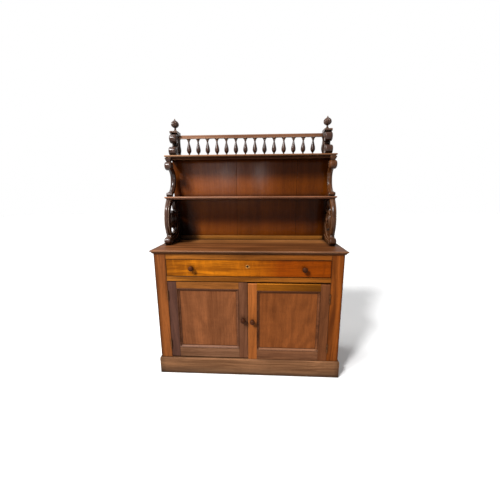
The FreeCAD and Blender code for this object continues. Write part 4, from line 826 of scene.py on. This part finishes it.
def gallery_post(side):
    """Shaft, web, cap, bar and rolls of the post on one side."""
    place = side_place(side * POST_X, BACK_Y, TOP_SHELF_Z)
    shaft = [(0.0, 0.0), (0.055, 0.0), (0.05, 0.15), (0.0, 0.15)]
    web = smooth_line(POST_LINE) + [(0.081, 0.14), (0.06, 0.15), (0.03, 0.15), (0.03, 0.0), (0.105, 0.0)]
    cap = [(0.0, 0.149), (0.0648, 0.149), (0.082, 0.156), (0.082, 0.165), (0.079, 0.168), (0.0, 0.168)]
    return [plate(place, shaft, SHAFT_HALF), plate(place, web, POST_WEB_HALF), plate(place, cap, CAP_HALF),
            swept_bar(place, POST_LINE, 0.0225, 0.008, 0.14),
            barrel(place, POST_ROLL, 0.0295, 0.0242, 0.25), barrel(place, POST_FOOT, 0.0298, 0.0248, 0.25)]


for side, hand in ((-1, "left"), (1, "right")):
    piece = carve("carved_upper_bracket_" + hand, upper_bracket(side), carved_woods[hand])
    stand_for(piece, "upper_bracket_" + hand)
    piece = carve("carved_gallery_post_" + hand, gallery_post(side), carved_wood)
    stand_for(piece, "gallery_post_" + hand)
print("upper brackets and posts carved")

# %% [markdown]
# The spindles of the gallery are turned like small vases: a ring at the foot, a low belly, a long neck and a
# wide flare under the rail, so that the gaps between them end in arches. A slim half one lies on each post.

# %% Spindles
GALLERY_Y = 0.1905
RAIL_HALF = 0.012
SPINDLE_HEIGHT = 0.123
SPINDLE_BELLY = 0.016
SPINDLE_COUNT = 14
POST_INNER_X = 0.5015
HALF_SLIMNESS = 0.6
FLARE_START = 0.9
SPINDLE_TURNS = 28
SPINDLE_OUTLINE = [(0.7, 0.0), (0.78, 0.05), (0.72, 0.09), (0.32, 0.14), (0.36, 0.18), (0.72, 0.24),
                   (0.95, 0.31), (1.0, 0.38), (0.92, 0.47), (0.7, 0.59), (0.48, 0.7), (0.36, 0.78),
                   (0.34, 0.83), (0.5, 0.87), (0.56, 0.885), (0.52, 0.9), (0.68, 0.935), (0.94, 0.97),
                   (1.14, 1.0)]


def spindle(centre_x, belly):
    """Vase on a centre line. Its flare is no deeper than the rail that it carries."""
    angles = [2 * math.pi * number / SPINDLE_TURNS for number in range(SPINDLE_TURNS)]
    rings = []
    for out, height in smooth_line(SPINDLE_OUTLINE, 3):
        across = belly * out
        deep = min(across, RAIL_HALF) if height > FLARE_START else across
        rings.append([(centre_x + across * math.cos(angle), GALLERY_Y + deep * math.sin(angle),
                       TOP_SHELF_Z + SPINDLE_HEIGHT * height) for angle in angles])
    return skin(rings)


pitch = 2 * POST_INNER_X / (SPINDLE_COUNT + 1)
row = [spindle(-POST_INNER_X + pitch * number, SPINDLE_BELLY) for number in range(1, SPINDLE_COUNT + 1)]
row += [spindle(side * POST_INNER_X, SPINDLE_BELLY * HALF_SLIMNESS) for side in (-1, 1)]
stand_for(carve("turned_spindles", row, carved_wood), "gallery_spindles")
print("spindles", len(row))

# %% [markdown]
# The finials are turned balls with carved lobes that twist a little, like a closed bud, on a thin neck. Each
# is a stack of rings whose radius swells and dips around the ring.

# %% Finials
FINIAL_BASE_Z = 1.626
FINIAL_HEIGHT = 0.088
FINIAL_RADIUS = 0.0272
FINIAL_Y = 0.1905
LOBES = 9
LOBE_DEPTH, LOBE_TWIST = 0.2, 1.1
LOBE_FROM, LOBE_RUN = 0.4, 0.4
NECK_TOP = 0.28
FINIAL_TURNS = 72
FINIAL_OUTLINE = [(0.64, 0.0), (0.57, 0.05), (0.36, 0.14), (0.24, 0.23), (0.23, 0.29), (0.44, 0.335),
                  (0.78, 0.41), (0.98, 0.51), (1.0, 0.58), (0.93, 0.68), (0.72, 0.77), (0.45, 0.835),
                  (0.25, 0.875), (0.17, 0.91), (0.13, 0.95), (0.04, 1.0)]


def finial(centre_x):
    """Ball with lobes on a neck. The lobes begin above the neck and deepen as the ball widens."""
    rings = []
    for out, height in smooth_line(FINIAL_OUTLINE, 4):
        swell = max(0.0, min(1.0, (out - LOBE_FROM) / LOBE_RUN)) if height > NECK_TOP else 0.0
        ring = []
        for number in range(FINIAL_TURNS):
            angle = 2 * math.pi * number / FINIAL_TURNS
            lobe = abs(math.sin(LOBES / 2 * (angle + LOBE_TWIST * height)))
            radius = FINIAL_RADIUS * out * (1 - LOBE_DEPTH * swell * (1 - lobe))
            ring.append((centre_x + radius * math.cos(angle), FINIAL_Y + radius * math.sin(angle),
                         FINIAL_BASE_Z + FINIAL_HEIGHT * height))
        rings.append(ring)
    return skin(rings)


piece = carve("carved_finials", [finial(-POST_X), finial(POST_X)], carved_wood)
stand_for(piece, "finials")
print("finials", LOBES, "lobes")

# %% [markdown]
# Each hinge leaf is held by three slotted screws, and the drawer's lock by four. A head is two half-moons
# with the slot between them. It stands only a hair proud, so that the two leaves of a hinge still close.

# %% Screws
SLOT_HALF = 0.0006
HEAD_PROUD = 0.00015
HEAD_RADIUS = 0.0034
LEAF_MIDDLE_Y = -0.182
FIXED_LEAF_X, DOOR_LEAF_X = 0.5152, 0.5148
HINGE_FEET = {"left": (0.187, 0.5305), "right": (0.179, 0.5225)}
SCREW_RISES = (0.011, 0.031, 0.051)
LOCK_BACK_Y = -0.1715
LOCK_SCREWS = [(-0.025, 0.751), (0.025, 0.751), (-0.025, 0.789), (0.025, 0.789)]


def screw_head(place, centre, turned):
    """Two half-moons round a centre, with the slot turned by some degrees."""
    start = math.degrees(math.asin(SLOT_HALF / HEAD_RADIUS))
    moons = [arc(centre, HEAD_RADIUS, half + start + turned, half + 180 - start + turned)
             for half in (0, 180)]
    return [plate(place, moon, HEAD_PROUD) for moon in moons]


def leaf_screws(hand, face_x):
    """Heads on one leaf of both hinges of a door."""
    def place(across, u, v):
        return (face_x + across, u, v)
    spots = [(LEAF_MIDDLE_Y, foot + rise) for foot in HINGE_FEET[hand] for rise in SCREW_RISES]
    return [moon for number, spot in enumerate(spots) for moon in screw_head(place, spot, 37 * number)]


def lock_screws():
    """Heads on the back of the lock."""
    def place(across, u, v):
        return (u, LOCK_BACK_Y + across, v)
    return [moon for number, spot in enumerate(LOCK_SCREWS)
            for moon in screw_head(place, spot, 25 + 50 * number)]


def fasten(piece, body):
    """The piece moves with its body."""
    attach(piece, body)


fixed_heads = leaf_screws("left", -FIXED_LEAF_X) + leaf_screws("right", FIXED_LEAF_X)
fasten(carve("hinge_screws_fixed", fixed_heads, brass), "carcass")
fasten(carve("hinge_screws_left", leaf_screws("left", -DOOR_LEAF_X), brass), "left_door")
fasten(carve("hinge_screws_right", leaf_screws("right", DOOR_LEAF_X), brass), "right_door")
fasten(carve("lock_screws", lock_screws(), steel), "drawer")
print("screws", 4 * len(HINGE_FEET["left"]) * len(SCREW_RISES) + len(LOCK_SCREWS))

# %% [markdown]
# Boards move with the weather, so a hair of space is left between them. A loose tongue lies along each joint
# of the two backs and keeps out the light and the dust. All that shows of it is a thin strip in the gap.

# %% Loose tongues between the back boards
UPPER_SEAMS, LOWER_SEAMS = (-0.1015, 0.3352), (-0.296, 0.0, 0.296)
UPPER_BACK_Y, UPPER_FOOT_Z, UPPER_TOP_Z = 0.2185, 0.862, 1.44
LOWER_BACK_Y, LOWER_FOOT_Z, LOWER_TOP_Z = 0.2195, 0.118, 0.834
TONGUE_HALF, TONGUE_DEPTH = 0.0004, 0.004
tongue_wood = polished_wood("wood_tongues", (52, 30, 16), "z", 83, edge_wear_and_shade=0.0, rough=0.9, gloss=0.0)


def tongue(seam_x, back_y, foot_z, top_z):
    """Upright strip in one joint."""
    def place(across, u, v):
        return (seam_x + across, u, v)
    front_y = back_y - TONGUE_DEPTH
    return plate(place, [(front_y, foot_z), (back_y, foot_z), (back_y, top_z), (front_y, top_z)], TONGUE_HALF)


tongues = [tongue(seam, UPPER_BACK_Y, UPPER_FOOT_Z, UPPER_TOP_Z) for seam in UPPER_SEAMS]
tongues += [tongue(seam, LOWER_BACK_Y, LOWER_FOOT_Z, LOWER_TOP_Z) for seam in LOWER_SEAMS]
fasten(carve("board_tongues", tongues, tongue_wood), "carcass")
print("tongues", len(tongues))

# %% [markdown]
# The room is a white floor under daylight from the front left, which throws each shelf's shadow down the
# back boards and each left bracket's shadow to the right. To the camera and to reflections the floor glows,
# so that it is white like paper, while its diffuse part still takes the shadow and sends little light back
# up. Three panes far in front light nothing: they are there for the haze and the two streaks that they leave
# in the polish of the back boards.

# %% Floor
FLOOR_HALF = 14.0
FLOOR_GLOW = 0.14
PAPER_DULL, PAPER_BRIGHT = (0.91, 0.91, 0.91, 1.0), (0.94, 0.94, 0.94, 1.0)
FLOOR_BOUNCE = (0.35, 0.34, 0.33, 1.0)
WHITE = (1.0, 1.0, 1.0, 1.0)


def seen_by_eye(tree):
    """1 for rays that come from the camera, a reflection or a see-through surface, and 0 for other light."""
    path = add(tree, "LightPath")
    seen = sum_up(tree, "MAXIMUM", path.outputs["Is Camera Ray"], path.outputs["Is Glossy Ray"])
    return sum_up(tree, "MAXIMUM", seen, path.outputs["Is Transmission Ray"])


def white_floor():
    """Paper white to the eye, and darker to the light that bounces off it."""
    material, tree, output = new_finish("white_floor")
    paper = add(tree, "TexNoise", {"Scale": 40.0, "Detail": 2.0}).outputs["Fac"]
    seen = seen_by_eye(tree)
    white = mix(tree, stretch(tree, paper, 0.3, 0.7), PAPER_DULL, PAPER_BRIGHT)
    colour = mix(tree, seen, FLOOR_BOUNCE, white)
    matt = add(tree, "BsdfDiffuse", {"Color": colour})
    glow = add(tree, "Emission", {"Color": WHITE, "Strength": times(tree, seen, FLOOR_GLOW)})
    both = add(tree, "AddShader", {0: matt.outputs[0], 1: glow.outputs[0]})
    tree.links.new(both.outputs[0], output.inputs["Surface"])
    return material


floor_mesh = bpy.data.meshes.new("floor")
floor_corners = [(x * FLOOR_HALF, y * FLOOR_HALF, 0) for x, y in ((-1, -1), (1, -1), (1, 1), (-1, 1))]
floor_mesh.from_pydata(floor_corners, [], [(0, 1, 2, 3)])
floor = bpy.data.objects.new("floor", floor_mesh)
floor_mesh.materials.append(white_floor())
bpy.context.scene.collection.objects.link(floor)
print("floor", 2 * FLOOR_HALF, "m")

# %% Light
ROOM_LIGHT = 0.2
SUN_DISTANCE = 3
PANES = [("tall_pane_left", (-0.84, -4.6, 1.65), (-0.17, 0.2, 1.33), 0.08, 0.36, 4.5),
         ("tall_pane_right", (-0.02, -4.6, 1.62), (0.06, 0.2, 1.31), 0.1, 0.56, 9.0),
         ("wide_pane", (-1.1, -4.6, 1.6), (-0.25, 0.2, 1.31), 1.2, 0.7, 20.0)]
sky = bpy.data.worlds.new("daylight")
bpy.context.scene.world = sky
sky.use_nodes = True
sky.node_tree.nodes.clear()
sky_strength = stretch(sky.node_tree, seen_by_eye(sky.node_tree), 0.0, 1.0, ROOM_LIGHT, 1.0)
sky_glow = add(sky.node_tree, "Background", {"Color": WHITE, "Strength": sky_strength})
add(sky.node_tree, "OutputWorld", {"Surface": sky_glow.outputs[0]})


def place_light(lamp, place, target):
    """Puts a light in the room so that it shines at its target."""
    holder = bpy.data.objects.new(lamp.name, lamp)
    holder.location = place
    holder.rotation_euler = (Vector(target) - Vector(place)).to_track_quat("-Z", "Y").to_euler()
    bpy.context.scene.collection.objects.link(holder)
    return holder


def pane_light(name, place, target, width, height, watts):
    """Soft rectangular light."""
    lamp = bpy.data.lights.new(name, "AREA")
    lamp.shape = "RECTANGLE"
    lamp.size = width
    lamp.size_y = height
    lamp.energy = watts
    return place_light(lamp, place, target)


def daylight(name, from_left, height, strength, softness):
    """Even light from one direction: degrees to the left of the front, and degrees up."""
    turn = math.radians(from_left)
    rise = math.radians(height)
    lamp = bpy.data.lights.new(name, "SUN")
    lamp.energy = strength
    lamp.angle = math.radians(softness)
    level = SUN_DISTANCE * math.cos(rise)
    place = (-level * math.sin(turn), -level * math.cos(turn), SUN_DISTANCE * math.sin(rise))
    place_light(lamp, place, (0, 0, 0))


daylight("front_daylight", 38, 42, 3.0, 10)
daylight("side_daylight", 100, 60, 1.2, 30)
pane_light("front_window", (-1.37, -1.66, 2.9), (0.0, 0.1, 0.9), 0.5, 0.5, 60)
for pane in PANES:
    pane_light(*pane).visible_diffuse = False
